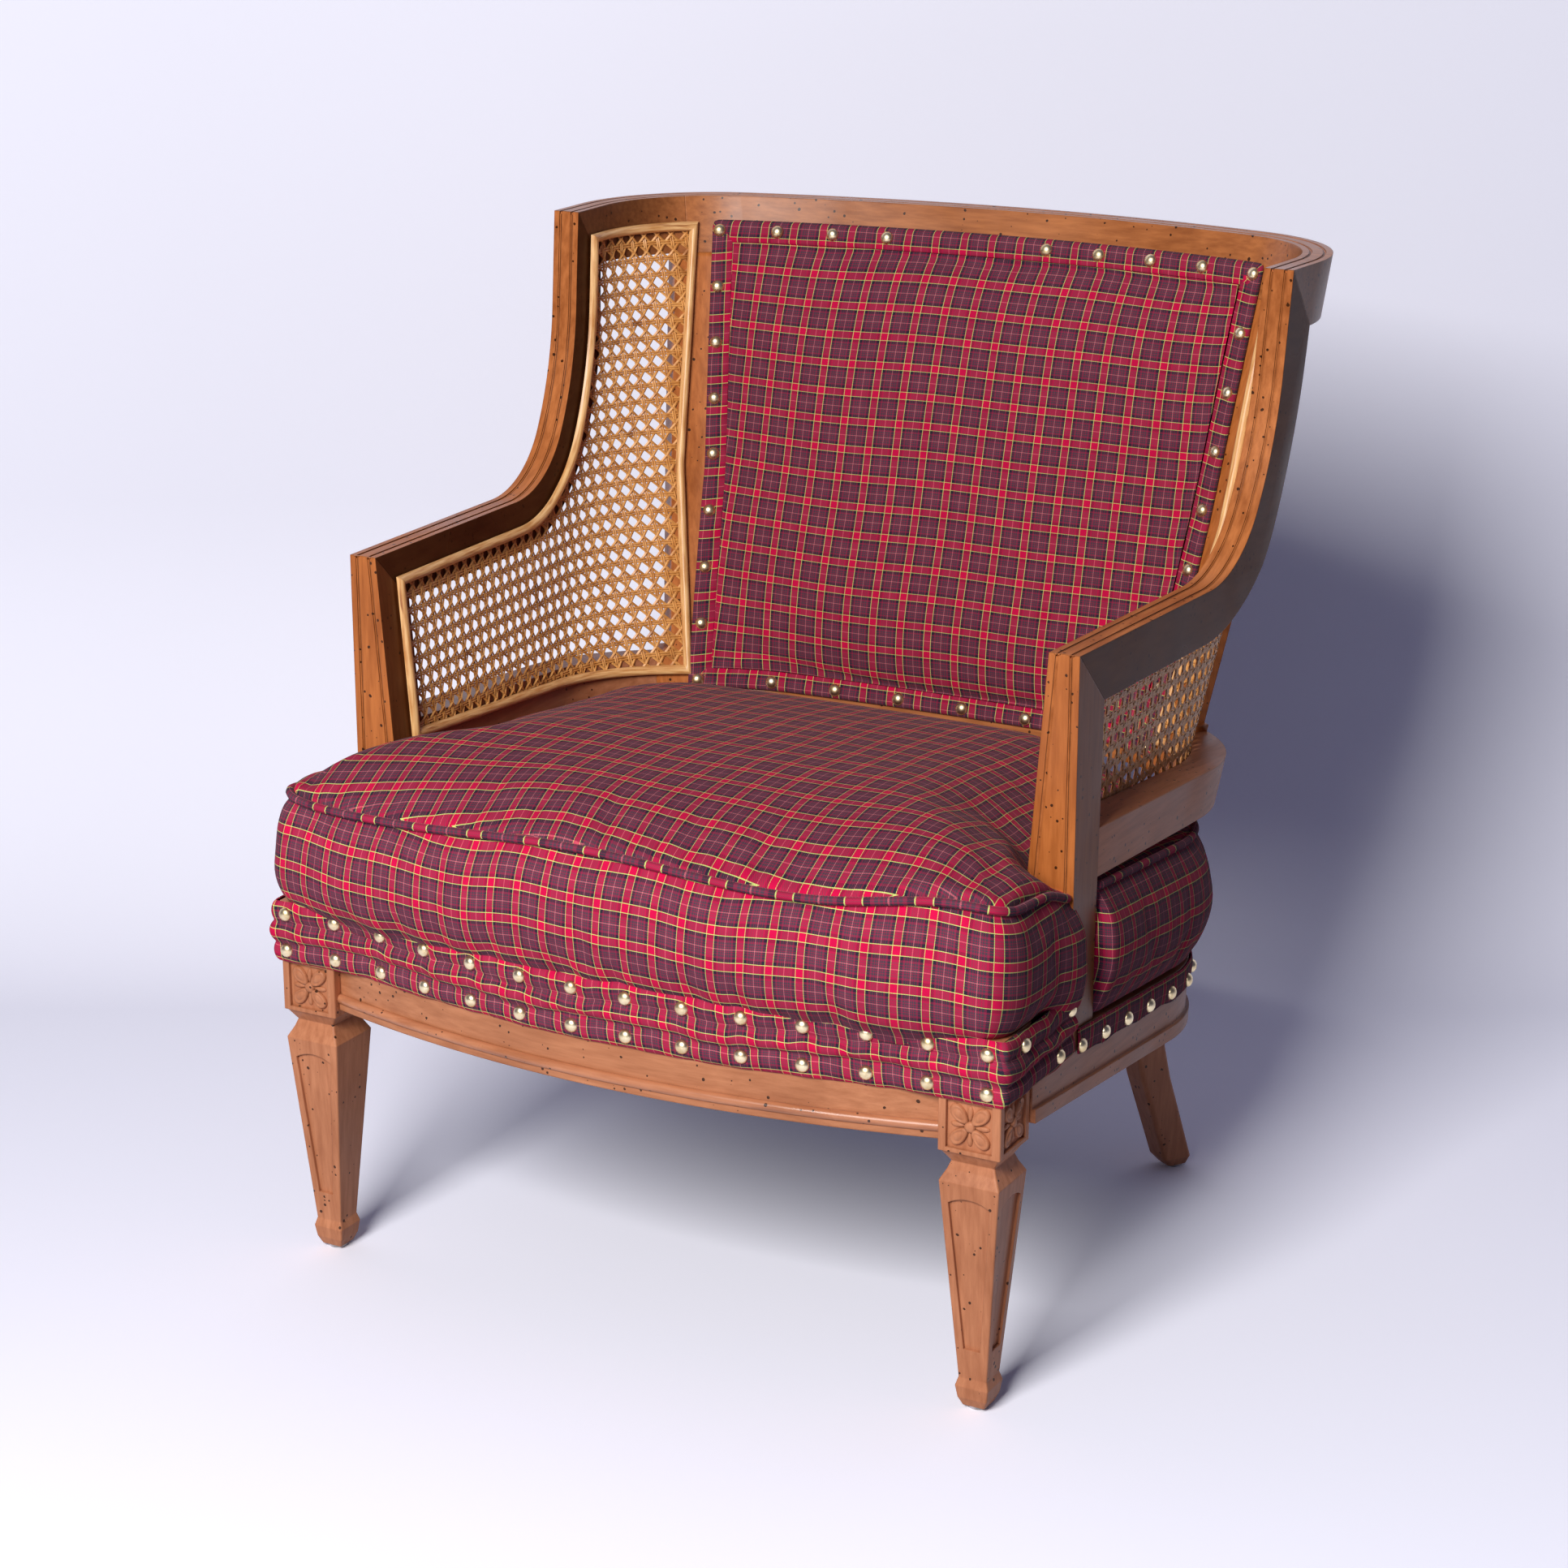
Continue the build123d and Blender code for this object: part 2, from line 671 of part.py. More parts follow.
def seat_wire(grow, height):
    """Level outline of the seat, grown or drawn in all round: bowed front, rounded corners and back."""
    half = seat_half_width + grow
    bow = seat_front_radius + grow
    front = seat_front_y - grow
    corner = max(seat_front_corner_radius + grow, welt_radius)
    corner_y = front + bow - math.sqrt((bow - corner) ** 2 - (half - corner) ** 2)
    turn = math.atan2(corner_y - front - bow, half - corner)
    side = Horseshoe(half, corner_y, 0, rail_corner_radius + grow, rail_back_y + grow,
                     rail_back_radius + grow)

    def on_front(angle):
        return (half - corner + corner * math.cos(angle), corner_y + corner * math.sin(angle), height)

    tip = on_front(turn)
    right = [ThreePointArc(tip, on_front(turn / 2), on_front(0))]
    right.extend(side.edges(0, height, None, side.last_angle))
    left = [edge.mirror(left_side) for edge in reversed(right)]
    tail = side.on_corner(0, side.last_angle)
    back = ThreePointArc((tail.X, tail.Y, height), (0, side.y_at(0, 0), height), (-tail.X, tail.Y, height))
    nose = ThreePointArc((-tip[0], tip[1], height), (0, front, height), tip)
    return Wire([nose] + right + [back] + left)


def seat_body(inset):
    """Crowned seat with bulging sides, drawn in to its welt and under the mid rail."""
    sections = [
        (touch, 0),
        (seat_bulge_height, seat_side_bulge),
        (seat_upper_bulge_height, seat_upper_bulge),
        (seat_edge_height, -welt_draw),
        (seat_shoulder_height, -seat_shoulder_inset),
        (seat_dome_height, -seat_dome_inset),
        (seat_brow_height, -seat_brow_inset),
        (seat_crown_height, -seat_crown_inset),
    ]
    share = (seat_crown_height - inset) / seat_crown_height
    wires = [seat_wire(grow - inset, height * share) for height, grow in sections]
    return seat_tilt * Solid.make_loft(wires, ruled=True)


def band_ring():
    """Strip of cloth round the front rail and the legs, from post to post."""
    def run(out, height):
        side_x = rail_outer_x + out
        face_y = -out
        radius = leg_corner_radius + out
        bow = front_rail_bow_radius + out
        centre_y = front_rail_front_y + front_rail_bow_radius
        meet_x = math.sqrt(bow**2 - (centre_y - face_y) ** 2)
        corner = Vector(side_x - radius, face_y + radius)
        slant = radius / math.sqrt(2)
        right = [
            Line((meet_x, face_y, height), (corner.X, face_y, height)),
            ThreePointArc((corner.X, face_y, height), (corner.X + slant, corner.Y - slant, height),
                          (side_x, corner.Y, height)),
            Line((side_x, corner.Y, height), (side_x, post_front_y - touch, height)),
        ]
        left = [edge.mirror(left_side) for edge in reversed(right)]
        nose = ThreePointArc((-meet_x, face_y, height), (0, centre_y - bow, height), (meet_x, face_y, height))
        return left + [nose] + right

    inner = run(touch, band_bottom)
    outer = run(touch + band_thickness, band_bottom)
    ends = [Line(outer[0] @ 1, inner[0] @ 1), Line(outer[-1] @ 1, inner[-1] @ 1)]
    return extrude(Face(Wire(outer + inner + ends)), amount=band_top - band_bottom, dir=(0, 0, 1))


def back_frustum(foot_half, top_half, foot, top, inset):
    """Front view of the back panel, wider at its top, drawn in by an inset, through the whole depth."""
    corners = [(-foot_half + inset, foot + inset), (foot_half - inset, foot + inset),
               (top_half - inset, top - inset), (-top_half + inset, top - inset)]
    outline = Polyline(*[(x, 0, height) for x, height in corners], close=True)
    return extrude(Face(Wire(outline.edges())), amount=reach, dir=(0, 1, 0))


def both_halves(half):
    return half + half.mirror(left_side)


def back_half_width(height):
    share = (height - back_foot_height) / (back_top_height - back_foot_height)
    return between(back_foot_half_width, back_top_half_width, share)


def back_pillow(inset, rest):
    """Crowned back pad in front of the webbing, thin along its edges, with its rear face at a depth."""
    edge = back_border_width + back_pad_gap + inset
    foot = back_foot_height + edge
    top = back_top_height - edge
    levels = [
        (foot, 0),
        (foot + back_roll_run, back_roll_share),
        (foot + back_shoulder_run, back_shoulder_share),
        ((foot + top) / 2, 1),
        (top - back_shoulder_run, back_shoulder_share),
        (top - back_roll_run, back_roll_share),
        (top, 0),
    ]
    wires = []
    for height, crown in levels:
        half = back_half_width(height) - edge
        proud = between(back_edge_crown, back_crown, crown) - inset
        side_y = inner_y(half, height, back_web_depth) - back_edge_crown / 2 + inset
        middle_y = inner_y(0, height, back_web_depth) - proud
        rear_side_y = inner_y(half, height, rest)
        rear = ThreePointArc((-half, rear_side_y, height), (0, inner_y(0, height, rest), height),
                             (half, rear_side_y, height))
        face = ThreePointArc((-half, side_y, height), (0, middle_y, height), (half, side_y, height))
        wires.append(closed([rear], [face]))
    return Solid.make_loft(wires, ruled=True)


# Frame solids of the right side
wall = barrel(outer_levels, 0, inner_levels, 0)
flat_inset = arm_thickness - moulding_inset - moulding_width
grooves = [barrel(outer_levels, inset, outer_levels, inset + moulding_width)
           for inset in (moulding_inset, flat_inset)]
above_rail = seat_tilt * slab(0, reach)
below_rail = seat_tilt * slab(-reach, -rail_height)
above_mid_foot = mid_tilt * slab(-mid_rail_height, reach)
post_back_y = post_front_y + arm_depth
behind_post = Pos(0, post_back_y + reach, 0) * Box(2 * reach, 2 * reach, 2 * reach)

post = arm_post(wall, above_rail)
arm = largest(wall & arm_band(0, arm_depth))
arm_edge = arm_band(0, moulding_depth)
for groove in grooves:
    arm = largest(arm - (groove & arm_edge))

crest = wall & crest_outline()
crest_edge = crest_outline() & slab(crest_top - moulding_depth, crest_top)
for groove in grooves:
    crest = crest - (groove & crest_edge)
crest_centre = outer_levels[-1][1].corner_centre
ahead_of_joint = Pos(crest_centre.X, crest_centre.Y, 0) * Rot(0, 0, crest_joint_angle) * Pos(0, -reach, 0)
ahead_of_joint = ahead_of_joint * Box(2 * reach, 2 * reach, 2 * reach)
crest_corner = largest(crest & ahead_of_joint)
crest_half = largest(crest - ahead_of_joint)

strip = stile_strip(stile_width)
stile = largest(wall & strip & above_mid_foot & slab(0, crest_top - crest_height))
mid = (wall & (mid_tilt * slab(-mid_rail_height, 0)) & behind_post) - strip
mid_pieces = sorted(mid.solids(), key=lambda solid: solid.center().Y)
mid_side = mid_pieces[0]
mid_half = mid_pieces[-1]


def walk(shape, inset, distance):
    """Point and outward direction at a distance along a horseshoe from its front end."""
    side = (shape.on_corner(inset, shape.first_angle) - shape.start(inset)).length
    corner_turn = shape.last_angle - shape.first_angle
    corner = math.radians(corner_turn) * (shape.corner_radius - inset)
    if distance <= side:
        return shape.start(inset) + shape.along * distance, shape.out
    if distance <= side + corner:
        angle = shape.first_angle + corner_turn * (distance - side) / corner
        point = shape.on_corner(inset, angle)
        return point, (point - shape.corner_centre).normalized()
    angle = shape.last_angle + math.degrees((distance - side - corner) / (shape.back_radius - inset))
    point = shape.on_back(inset, angle)
    return point, (point - shape.back_centre).normalized()


def wall_point(inset, angle, height):
    """Point on the upper barrel's corner at a height."""
    (low, first), (high, second) = outer_levels[1:]
    share = (height - low) / (high - low)
    point = between(first.on_corner(inset, angle), second.on_corner(inset, angle), share)
    return Vector(point.X, point.Y, height)


def dowel(middle, along, radius=dowel_radius, length=dowel_length):
    return Plane(origin=middle, z_dir=along).location * Cylinder(radius, length)


def corner_block():
    """Glue block across the corner of the front and side rails, behind the leg."""
    inner_x = rail_outer_x - rail_thickness
    corners = [(rail_outer_x, 0), (rail_outer_x, leg_back_y + corner_block_leg),
               (inner_x, leg_back_y + corner_block_leg), (leg_inner_x - corner_block_leg, leg_back_y / 2),
               (leg_inner_x - corner_block_leg, 0)]
    bottom = front_rail_bottom + front_rail_bead_height
    outline = Polyline(*[(x, y, bottom) for x, y in corners], close=True)
    return extrude(Face(Wire(outline.edges())), amount=corner_block_height, dir=(0, 0, 1))


def screw(tip, along):
    """Round-headed screw from its head's seat towards its tip."""
    shank = Plane(origin=tip, z_dir=along).location * Pos(0, 0, screw_length / 2)
    head = Plane(origin=tip, z_dir=along).location * Pos(0, 0, -screw_head_height / 2)
    head = head * Cylinder(screw_head_radius, screw_head_height)
    return shank * Cylinder(screw_radius, screw_length) + head


def counterbore(seat, along):
    depth = corner_block_leg
    place = Plane(origin=seat, z_dir=along).location * Pos(0, 0, -depth / 2)
    return place * Cylinder(screw_head_radius, depth)


def seated(nails, *faces):
    """Nails trimmed by the cloth that they hold down."""
    result = []
    for nail in nails:
        for face in faces:
            nail = largest(nail - face)
        result.append(nail)
    return result


def band_nails():
    """Two rows of nails round the front, and those on the two short sides."""
    out = touch + band_thickness
    bow = front_rail_bow_radius + out
    centre_y = front_rail_front_y + front_rail_bow_radius
    meet_x = math.sqrt(bow**2 - (centre_y + out) ** 2)
    nails = []
    for height in (front_nail_upper, front_nail_lower):
        for index in range(front_nail_count):
            x = between(-front_nail_reach, front_nail_reach, index / (front_nail_count - 1))
            if abs(x) < meet_x:
                y = centre_y - math.sqrt(bow**2 - x**2)
                nails.append(nail_at((x, y, height), (x / bow, (y - centre_y) / bow, 0)))
            else:
                nails.append(nail_at((x, -out, height), (0, -1, 0)))
    side_x = rail_outer_x + out
    for y, height in ((band_nail_front_y, front_nail_upper), (band_nail_back_y, front_nail_upper),
                      (band_nail_low_y, front_nail_lower)):
        nail = nail_at((side_x, y, height), (1, 0, 0))
        nails.extend([nail, nail.mirror(left_side)])
    return nails


def strip_nails():
    """Nails along the cloth's edge on the side and rear rails, from the right post round to the back."""
    shape = rail_shape()
    inset = -touch - edge_strip_thickness
    total = (shape.on_corner(inset, shape.first_angle) - shape.start(inset)).length
    total += math.radians(shape.last_angle - shape.first_angle) * (shape.corner_radius - inset)
    total += math.radians(90 - shape.last_angle) * (shape.back_radius - inset)
    first = edge_strip_start_y + nail_radius + touch
    count = round((total - first) / side_nail_spacing)
    nails = []
    for index in range(count):
        point, outward = walk(shape, inset, first + index * (total - first) / count)
        nail = seat_tilt * nail_at((point.X, point.Y, -side_nail_drop), (outward.X, outward.Y, 0))
        nails.append(nail)
    return nails


def back_nails(face_y, towards, foot_half, top_half, foot, top, lost, foot_count):
    """Nails round the back panel: two columns, a top row with some lost, and a bottom row."""
    nails = []

    def place(x, height):
        slope = face_y(x, height + 1) - face_y(x, height - 1)
        sway = face_y(x + 1, height) - face_y(x - 1, height)
        outward = Vector(-sway / 2, 1, -slope / 2) * towards
        nails.append(nail_at(Vector(x, face_y(x, height), height), outward.normalized()))

    count = round((top - foot) / back_nail_spacing)
    for index in range(count):
        height = between(foot, top, index / count)
        half = between(foot_half, top_half, index / count)
        place(half, height)
        place(-half, height)
    for index in range(back_nail_count):
        if index not in lost:
            place(between(-top_half, top_half, index / (back_nail_count - 1)), top)
    for index in range(1, foot_count - 1):
        place(between(-foot_half, foot_half, index / (foot_count - 1)), foot)
    return nails


# Rails, legs and glue blocks
leg = front_leg()
side_rail, rear_rail = seat_rails()
bow_rail = front_rail()
back_leg = rear_leg(below_rail)
block = largest(corner_block() - leg - side_rail - bow_rail)
block_height = front_rail_bottom + front_rail_bead_height + corner_block_height / 2
side_screw_seat = (leg_inner_x, leg_back_y + side_screw_setback, block_height)
front_screw_seat = (leg_inner_x - corner_block_leg / 2, leg_back_y + front_screw_setback, block_height)
screws = []
for seat, along in ((side_screw_seat, (1, 0, 0)), (front_screw_seat, (0, -1, 0))):
    fastener = screw(seat, along)
    screws.extend([fastener, fastener.mirror(left_side)])
    block = largest(block - fastener - counterbore(seat, along))
    side_rail = largest(side_rail - fastener)
    bow_rail = bow_rail - fastener - fastener.mirror(left_side)

rail = rail_shape()
rear_block = ring_part(rail, rail_thickness, rail_thickness + rear_block_depth, -rail_height,
                       -rail_height + corner_block_height, rear_leg_turn - rear_block_angle,
                       rear_leg_turn + rear_block_angle)
rear_block = seat_tilt * rear_block
bolt_foot = rail.on_corner(rail_thickness + bolt_inset, rear_leg_turn)
bolt_place = (seat_tilt * Pos(bolt_foot.X, bolt_foot.Y, -rail_height)).position
rake = Vector(rear_top_x - rear_foot_x, rear_top_y - rear_foot_y, rail_top - rail_height).normalized()
bolt = dowel(bolt_place + rake * (bolt_length / 2 - bolt_in_leg), rake, bolt_radius, bolt_length)
back_leg = largest(back_leg - bolt)
rear_block = largest(rear_block - bolt)

# Dowels of the barrel frame
mitre_front = sweep_edge(0, post_front_y, crest_top)[-1] @ 1
mitre_back = sweep_edge(arm_depth, post_front_y, crest_top - crest_height)[-1] @ 1
mitre_middle = (mitre_front + mitre_back) / 2
half_wall = arm_thickness / 2
post_middle_y = post_front_y + arm_depth / 2
rail_seat = (seat_tilt * Pos(rail_outer_x - rail_thickness / 2, post_middle_y, 0)).position
crest_low = crest_top - crest_height
crest_middle = crest_top - crest_height / 2
stile_head = wall_point(half_wall, stile_dowel_angle, crest_low)
stile_rake = wall_point(half_wall, stile_top_angle, crest_low)
stile_rake = stile_rake - wall_point(half_wall, stile_top_angle, arm_top)
joint_turn = math.radians(crest_joint_angle)
post_dowel = dowel(rail_seat, (0, 0, 1))
arm_dowel = dowel((post_outer_x - half_wall, post_middle_y, arm_top - arm_depth / 2), (0, 1, 1))
wing_dowel = dowel((outer_levels[-1][1].x_at(mitre_middle.X, half_wall), mitre_middle.X, mitre_middle.Y),
                   (0, crest_height, mitre_back.X - mitre_front.X))
crest_dowel = dowel(wall_point(half_wall, crest_joint_angle, crest_middle),
                    (-math.sin(joint_turn), math.cos(joint_turn), 0))
stile_dowel = dowel(stile_head, stile_rake)
mid_dowel = dowel((post_outer_x - rail_thickness / 2, post_back_y, mid_rail_top - mid_rail_height / 2),
                  (0, 1, 0))
side_rail = largest(side_rail - post_dowel)
post = largest(post - post_dowel - arm_dowel - mid_dowel)
arm = largest(arm - arm_dowel - wing_dowel)
crest_corner = largest(crest_corner - wing_dowel - crest_dowel - stile_dowel)
crest_half = largest(crest_half - crest_dowel)
stile = largest(stile - stile_dowel)
mid_side = largest(mid_side - mid_dowel)
dowels = [post_dowel, arm_dowel, wing_dowel, crest_dowel, stile_dowel, mid_dowel]

# Caned side panel with its bead, on the inner face of the frame
cane = barrel(inner_levels, touch, inner_levels, touch + cane_thickness)
cane = largest((cane & cane_space(0)) - behind_stile(cane_stile_lap))
holes = [Plane.YZ * (Pos(y, height) * Rectangle(cane_hole, cane_hole)) for y, height in cane_hole_places()]
cane = largest(cane - [extrude(hole, amount=reach, dir=(1, 0, 0)) for hole in holes])
bead_floor = 2 * touch + cane_thickness
bead = barrel(inner_levels, bead_floor, inner_levels, bead_floor + cane_bead_height)
bead = bead & cane_space(0)
front_edge = cane_front_y + cane_bead_width
front_space = Pos(0, front_edge - reach, 0) * Box(2 * reach, 2 * reach, 2 * reach)
low_space = mid_tilt * slab(-reach, cane_bead_width - cane_bottom_overlap)
top_space = slab(cane_top - cane_bead_width, 2 * reach)
sweep_pair = [sweep_edge(cane_arm_inset + depth, front_edge, cane_top) for depth in (0, cane_bead_width)]
arm_space = side_prism(closed(*sweep_pair))
past_bead = behind_stile(cane_stile_lap)
back_space = behind_stile(cane_stile_lap - cane_bead_width)
bead = bead - past_bead
bead_front = largest(bead & front_space)
bead_arm = largest(bead & arm_space)
bead_top = largest((bead - front_space - arm_space) & top_space)
bead_low = largest((bead - front_space) & low_space)
bead_back = largest((bead & back_space) - low_space - top_space)

# Seat upholstery
post_space = Pos(post_inner_foot_x - touch + reach / 2, post_middle_y, 0)
post_space = post_space * Box(reach, arm_depth + 2 * touch, 2 * reach)
post_spaces = [post_space, post_space.mirror(left_side)]
band_space = Pos(0, post_front_y - reach, leg_height + touch - reach) * Box(2 * reach, 2 * reach, 2 * reach)
lip_space = Pos(0, leg_back_y + touch - reach, 0) * Box(2 * reach, 2 * reach, 2 * reach)
welt_path = seat_wire(0, seat_edge_height)
welt_plane = Plane(origin=welt_path @ 0, z_dir=welt_path % 0)
welt = seat_tilt * sweep(welt_plane * Circle(welt_radius), path=welt_path)
welt_space = seat_tilt * sweep(welt_plane * Circle(welt_radius + touch), path=welt_path)
layer = touch + webbing_thickness
burlap_floor = 2 * layer + touch
foam_floor = burlap_floor + burlap_thickness + touch
cover = seat_body(0) - seat_body(cloth_thickness) - welt_space - band_space - post_spaces
foam = (seat_body(cloth_thickness + touch) & (seat_tilt * slab(foam_floor, reach))) - band_space - post_spaces
welt = welt - post_spaces
burlap = extrude(Face(seat_wire(-webbing_lap, burlap_floor)), amount=burlap_thickness, dir=(0, 0, 1))
burlap = (seat_tilt * burlap) - lip_space - post_spaces
long_straps = []
for index in range(webbing_long_count):
    x = (index - (webbing_long_count - 1) / 2) * webbing_long_spacing
    tail = rail.y_at(abs(x) + webbing_width / 2, webbing_lap)
    nose = leg_back_y / 2
    strap = Pos(x, (nose + tail) / 2, layer - webbing_thickness / 2)
    long_straps.append(seat_tilt * (strap * Box(webbing_width, tail - nose, webbing_thickness)))
cross_straps = []
for index in range(webbing_cross_count):
    y = webbing_cross_start_y + index * webbing_cross_spacing
    half = rail.x_at(y + webbing_width / 2, webbing_lap)
    strap = Pos(0, y, 2 * layer - webbing_thickness / 2)
    cross_straps.append(seat_tilt * (strap * Box(2 * half, webbing_width, webbing_thickness)))
edge_strip = ring_part(Horseshoe(rail_outer_x, edge_strip_start_y, 0, rail_corner_radius, rail_back_y,
                                 rail_back_radius),
                       -touch - edge_strip_thickness, -touch, -edge_strip_height, -touch)
edge_strip = seat_tilt * both_halves(edge_strip)
dust_cover = Face(seat_wire(-dust_cover_inset, -rail_height - touch - dust_cover_thickness))
dust_cover = seat_tilt * extrude(dust_cover, amount=dust_cover_thickness, dir=(0, 0, 1))
for solid in (bow_rail, leg, leg.mirror(left_side), back_leg, back_leg.mirror(left_side), block,
              block.mirror(left_side), bolt, bolt.mirror(left_side)):
    dust_cover = dust_cover - solid
dust_cover = largest(dust_cover)

# Back upholstery
back_outline = (back_foot_half_width, back_top_half_width, back_foot_height, back_top_height)
border_depth = back_web_depth + back_border_thickness
border = both_halves(barrel(inner_levels, back_web_depth, inner_levels, border_depth))
border = (border & back_frustum(*back_outline, 0)) - back_frustum(*back_outline, back_border_width)
frame_space = both_halves(barrel(outer_levels, -2 * arm_depth, inner_levels, back_web_depth))
back_cover = back_pillow(0, back_web_depth) - frame_space
back_foam = back_pillow(cloth_thickness + touch, back_web_depth + touch) - frame_space
back_cover = back_cover - back_pillow(cloth_thickness, back_web_depth - cloth_thickness)
upright_layer = both_halves(barrel(inner_levels, touch, inner_levels, layer))
level_layer = both_halves(barrel(inner_levels, layer + touch, inner_levels, 2 * layer))
upright_straps = []
for index in range(back_webbing_count):
    x = (index - (back_webbing_count - 1) / 2) * back_webbing_spacing
    low = back_foot_height + back_border_width / 2
    high = back_top_height - back_border_width / 2
    space = Pos(x, reach / 2, (low + high) / 2) * Box(webbing_width, reach, high - low)
    upright_straps.append(largest(upright_layer & space))
level_straps = []
for index in range(back_webbing_count - 1):
    height = between(back_foot_height, back_top_height, (index + 1) / back_webbing_count)
    half = back_half_width(height - webbing_width / 2) - back_border_width / 2
    space = Pos(0, reach / 2, height) * Box(2 * half, reach, webbing_width)
    level_straps.append(largest(level_layer & space))
outer_back = both_halves(barrel(outer_levels, -touch - edge_strip_thickness, outer_levels, -touch))
outer_back = outer_back & back_frustum(outer_back_foot_half_width, outer_back_top_half_width,
                                       outer_back_foot_height, outer_back_top_height, 0)


def border_face(x, height):
    return inner_y(x, height, border_depth)


def outer_face(x, height):
    return outer_y(x, height, -touch - edge_strip_thickness)


half_border = back_border_width / 2
inside_nails = back_nails(border_face, -1, back_foot_half_width - half_border,
                          back_top_half_width - half_border, back_foot_height + half_border,
                          back_top_height - half_border, back_nails_lost, back_foot_nail_count)
outside_nails = back_nails(outer_face, 1, outer_back_foot_half_width - half_border,
                           outer_back_top_half_width - half_border, outer_back_foot_height + half_border,
                           outer_back_top_height - half_border, (), 0)

# Sub-parts
add_pair("front_leg", leg)
add_pair("rear_leg", back_leg)
rear_glide = glide(rear_foot_x, rear_foot_y)
front_glide = glide(leg_centre_x, leg_block / 2)
add("leg_glides", front_glide, rear_glide, front_glide.mirror(left_side), rear_glide.mirror(left_side))
add("front_seat_rail", bow_rail)
add_pair("side_seat_rail", side_rail)
add("rear_seat_rail", rear_rail)
add_pair("corner_block", block)
add_pair("rear_leg_block", rear_block)
add("corner_block_screws", *screws)
add("rear_leg_bolts", bolt, bolt.mirror(left_side))
add_pair("arm_post", post)
add_pair("arm", arm)
add_pair("crest_corner", crest_corner)
add("crest_rail", both_halves(crest_half))
add_pair("back_stile", stile)
add_pair("mid_rail_side", mid_side)
add("mid_rail_back", both_halves(mid_half))
add("frame_dowels", *dowels, *[pin.mirror(left_side) for pin in dowels])
add_pair("cane_panel", cane)
add_pair("cane_bead_front", bead_front)
add_pair("cane_bead_arm", bead_arm)
add_pair("cane_bead_top", bead_top)
add_pair("cane_bead_bottom", bead_low)
add_pair("cane_bead_back", bead_back)
add("seat_webbing_long", *long_straps)
add("seat_webbing_cross", *cross_straps)
add("seat_burlap", burlap)
add("seat_foam", foam)
add("seat_cover", cover)
add("seat_welt", welt)
front_band = band_ring()
add("seat_front_band", front_band)
add("seat_band_nails", *seated(band_nails(), front_band))
add("seat_edge_strip", edge_strip)
rail_nails = seated(strip_nails(), edge_strip)
add("seat_edge_nails", *rail_nails, *[nail.mirror(left_side) for nail in rail_nails])
add("dust_cover", dust_cover)
add("back_webbing_upright", *upright_straps)
add("back_webbing_level", *level_straps)
add("back_foam", back_foam)
add("back_cover", back_cover)
add("back_border", border)
add("back_nails", *seated(inside_nails, border))
add("outer_back_panel", outer_back)
add("outer_back_nails", *seated(outside_nails, outer_back))

# The origin is the middle of the floor under the chair
boxes = [solid.bounding_box() for solids in nodes.values() for solid in solids]
front = min(box.min.Y for box in boxes)
back = max(box.max.Y for box in boxes)
floor_height = min(box.min.Z for box in boxes)
centring = Pos(0, -(front + back) / 2, -floor_height)
os.makedirs("parts", exist_ok=True)
for name, solids in nodes.items():
    placed = [centring * solid for solid in solids]
    shape = placed[0] if len(placed) == 1 else Compound(children=placed)
    export_step(shape, "parts/" + name + ".step")
    print(name, len(placed), round(sum(solid.volume for solid in placed)))
print("depth", back - front, "placed by", centring.position)
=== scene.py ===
# %% [markdown]
# # A lounge chair with caned sides
# The solid chair arrives ready made: legs, rails, arms and crest stay as they are and only get a finish.
# This lesson makes what solids can't show well: woven cane, reed beads, plaid cloth, stuffed pads and nails.
# Places are worked out in the chair maker's millimetres and turned into metres at the end.

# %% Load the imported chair
import math

import bmesh
import bpy
import numpy as np
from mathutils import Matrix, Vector


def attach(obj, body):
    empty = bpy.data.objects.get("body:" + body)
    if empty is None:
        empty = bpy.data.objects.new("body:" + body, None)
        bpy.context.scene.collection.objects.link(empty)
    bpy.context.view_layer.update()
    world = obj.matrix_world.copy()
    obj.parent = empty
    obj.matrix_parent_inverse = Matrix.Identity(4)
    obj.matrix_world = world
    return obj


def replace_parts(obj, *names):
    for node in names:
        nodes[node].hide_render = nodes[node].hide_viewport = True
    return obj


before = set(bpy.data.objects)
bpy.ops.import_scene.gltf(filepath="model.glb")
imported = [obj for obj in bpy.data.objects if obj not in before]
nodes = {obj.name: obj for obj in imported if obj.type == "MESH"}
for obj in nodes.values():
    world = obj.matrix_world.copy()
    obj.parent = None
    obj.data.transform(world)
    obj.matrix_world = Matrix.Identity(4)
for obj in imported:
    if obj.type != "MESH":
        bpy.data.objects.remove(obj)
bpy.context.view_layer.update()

scene = bpy.context.scene
scene.view_settings.view_transform = "Standard"

# %% [markdown]
# ## Driving sizes
# These sizes from the maker's drawing place most of the work. In the drawing x runs right from the middle,
# y to the back from the front legs, and z up. The frame's origin lies under the chair's middle instead.

# %% Driving sizes
drawing_shift = 319.425
frame_half = 327
wall_front, post_back = 118, 162
wall_foot, arm_top, crest_top = 350, 575, 811
rail_corner, rail_back, rail_back_bow = 190, 515, 2500
rail_front, rail_bow = -29, 1000
leg_middle_x, leg_half = 299.6, 25.75
back_foot, back_head = 379, 790
back_foot_half, back_head_half = 230, 268
seat_front_y, seat_front_z, seat_fall = 124, 278, math.radians(5.5)
print("frame", 2 * frame_half, "mm wide and", crest_top, "mm high")

# %% [markdown]
# ## Camera
# The photograph was taken from the front right, from above the height of the crest, with a long lens.
# Placing the camera first means that every later step can be judged against the photograph.

# %% Camera
camera_place = Vector((1.307, -2.43743, 1.246))
view_direction = Vector((-0.4589, 0.8358, -0.3015))


def looking(direction):
    return direction.to_track_quat("-Z", "Y").to_euler()


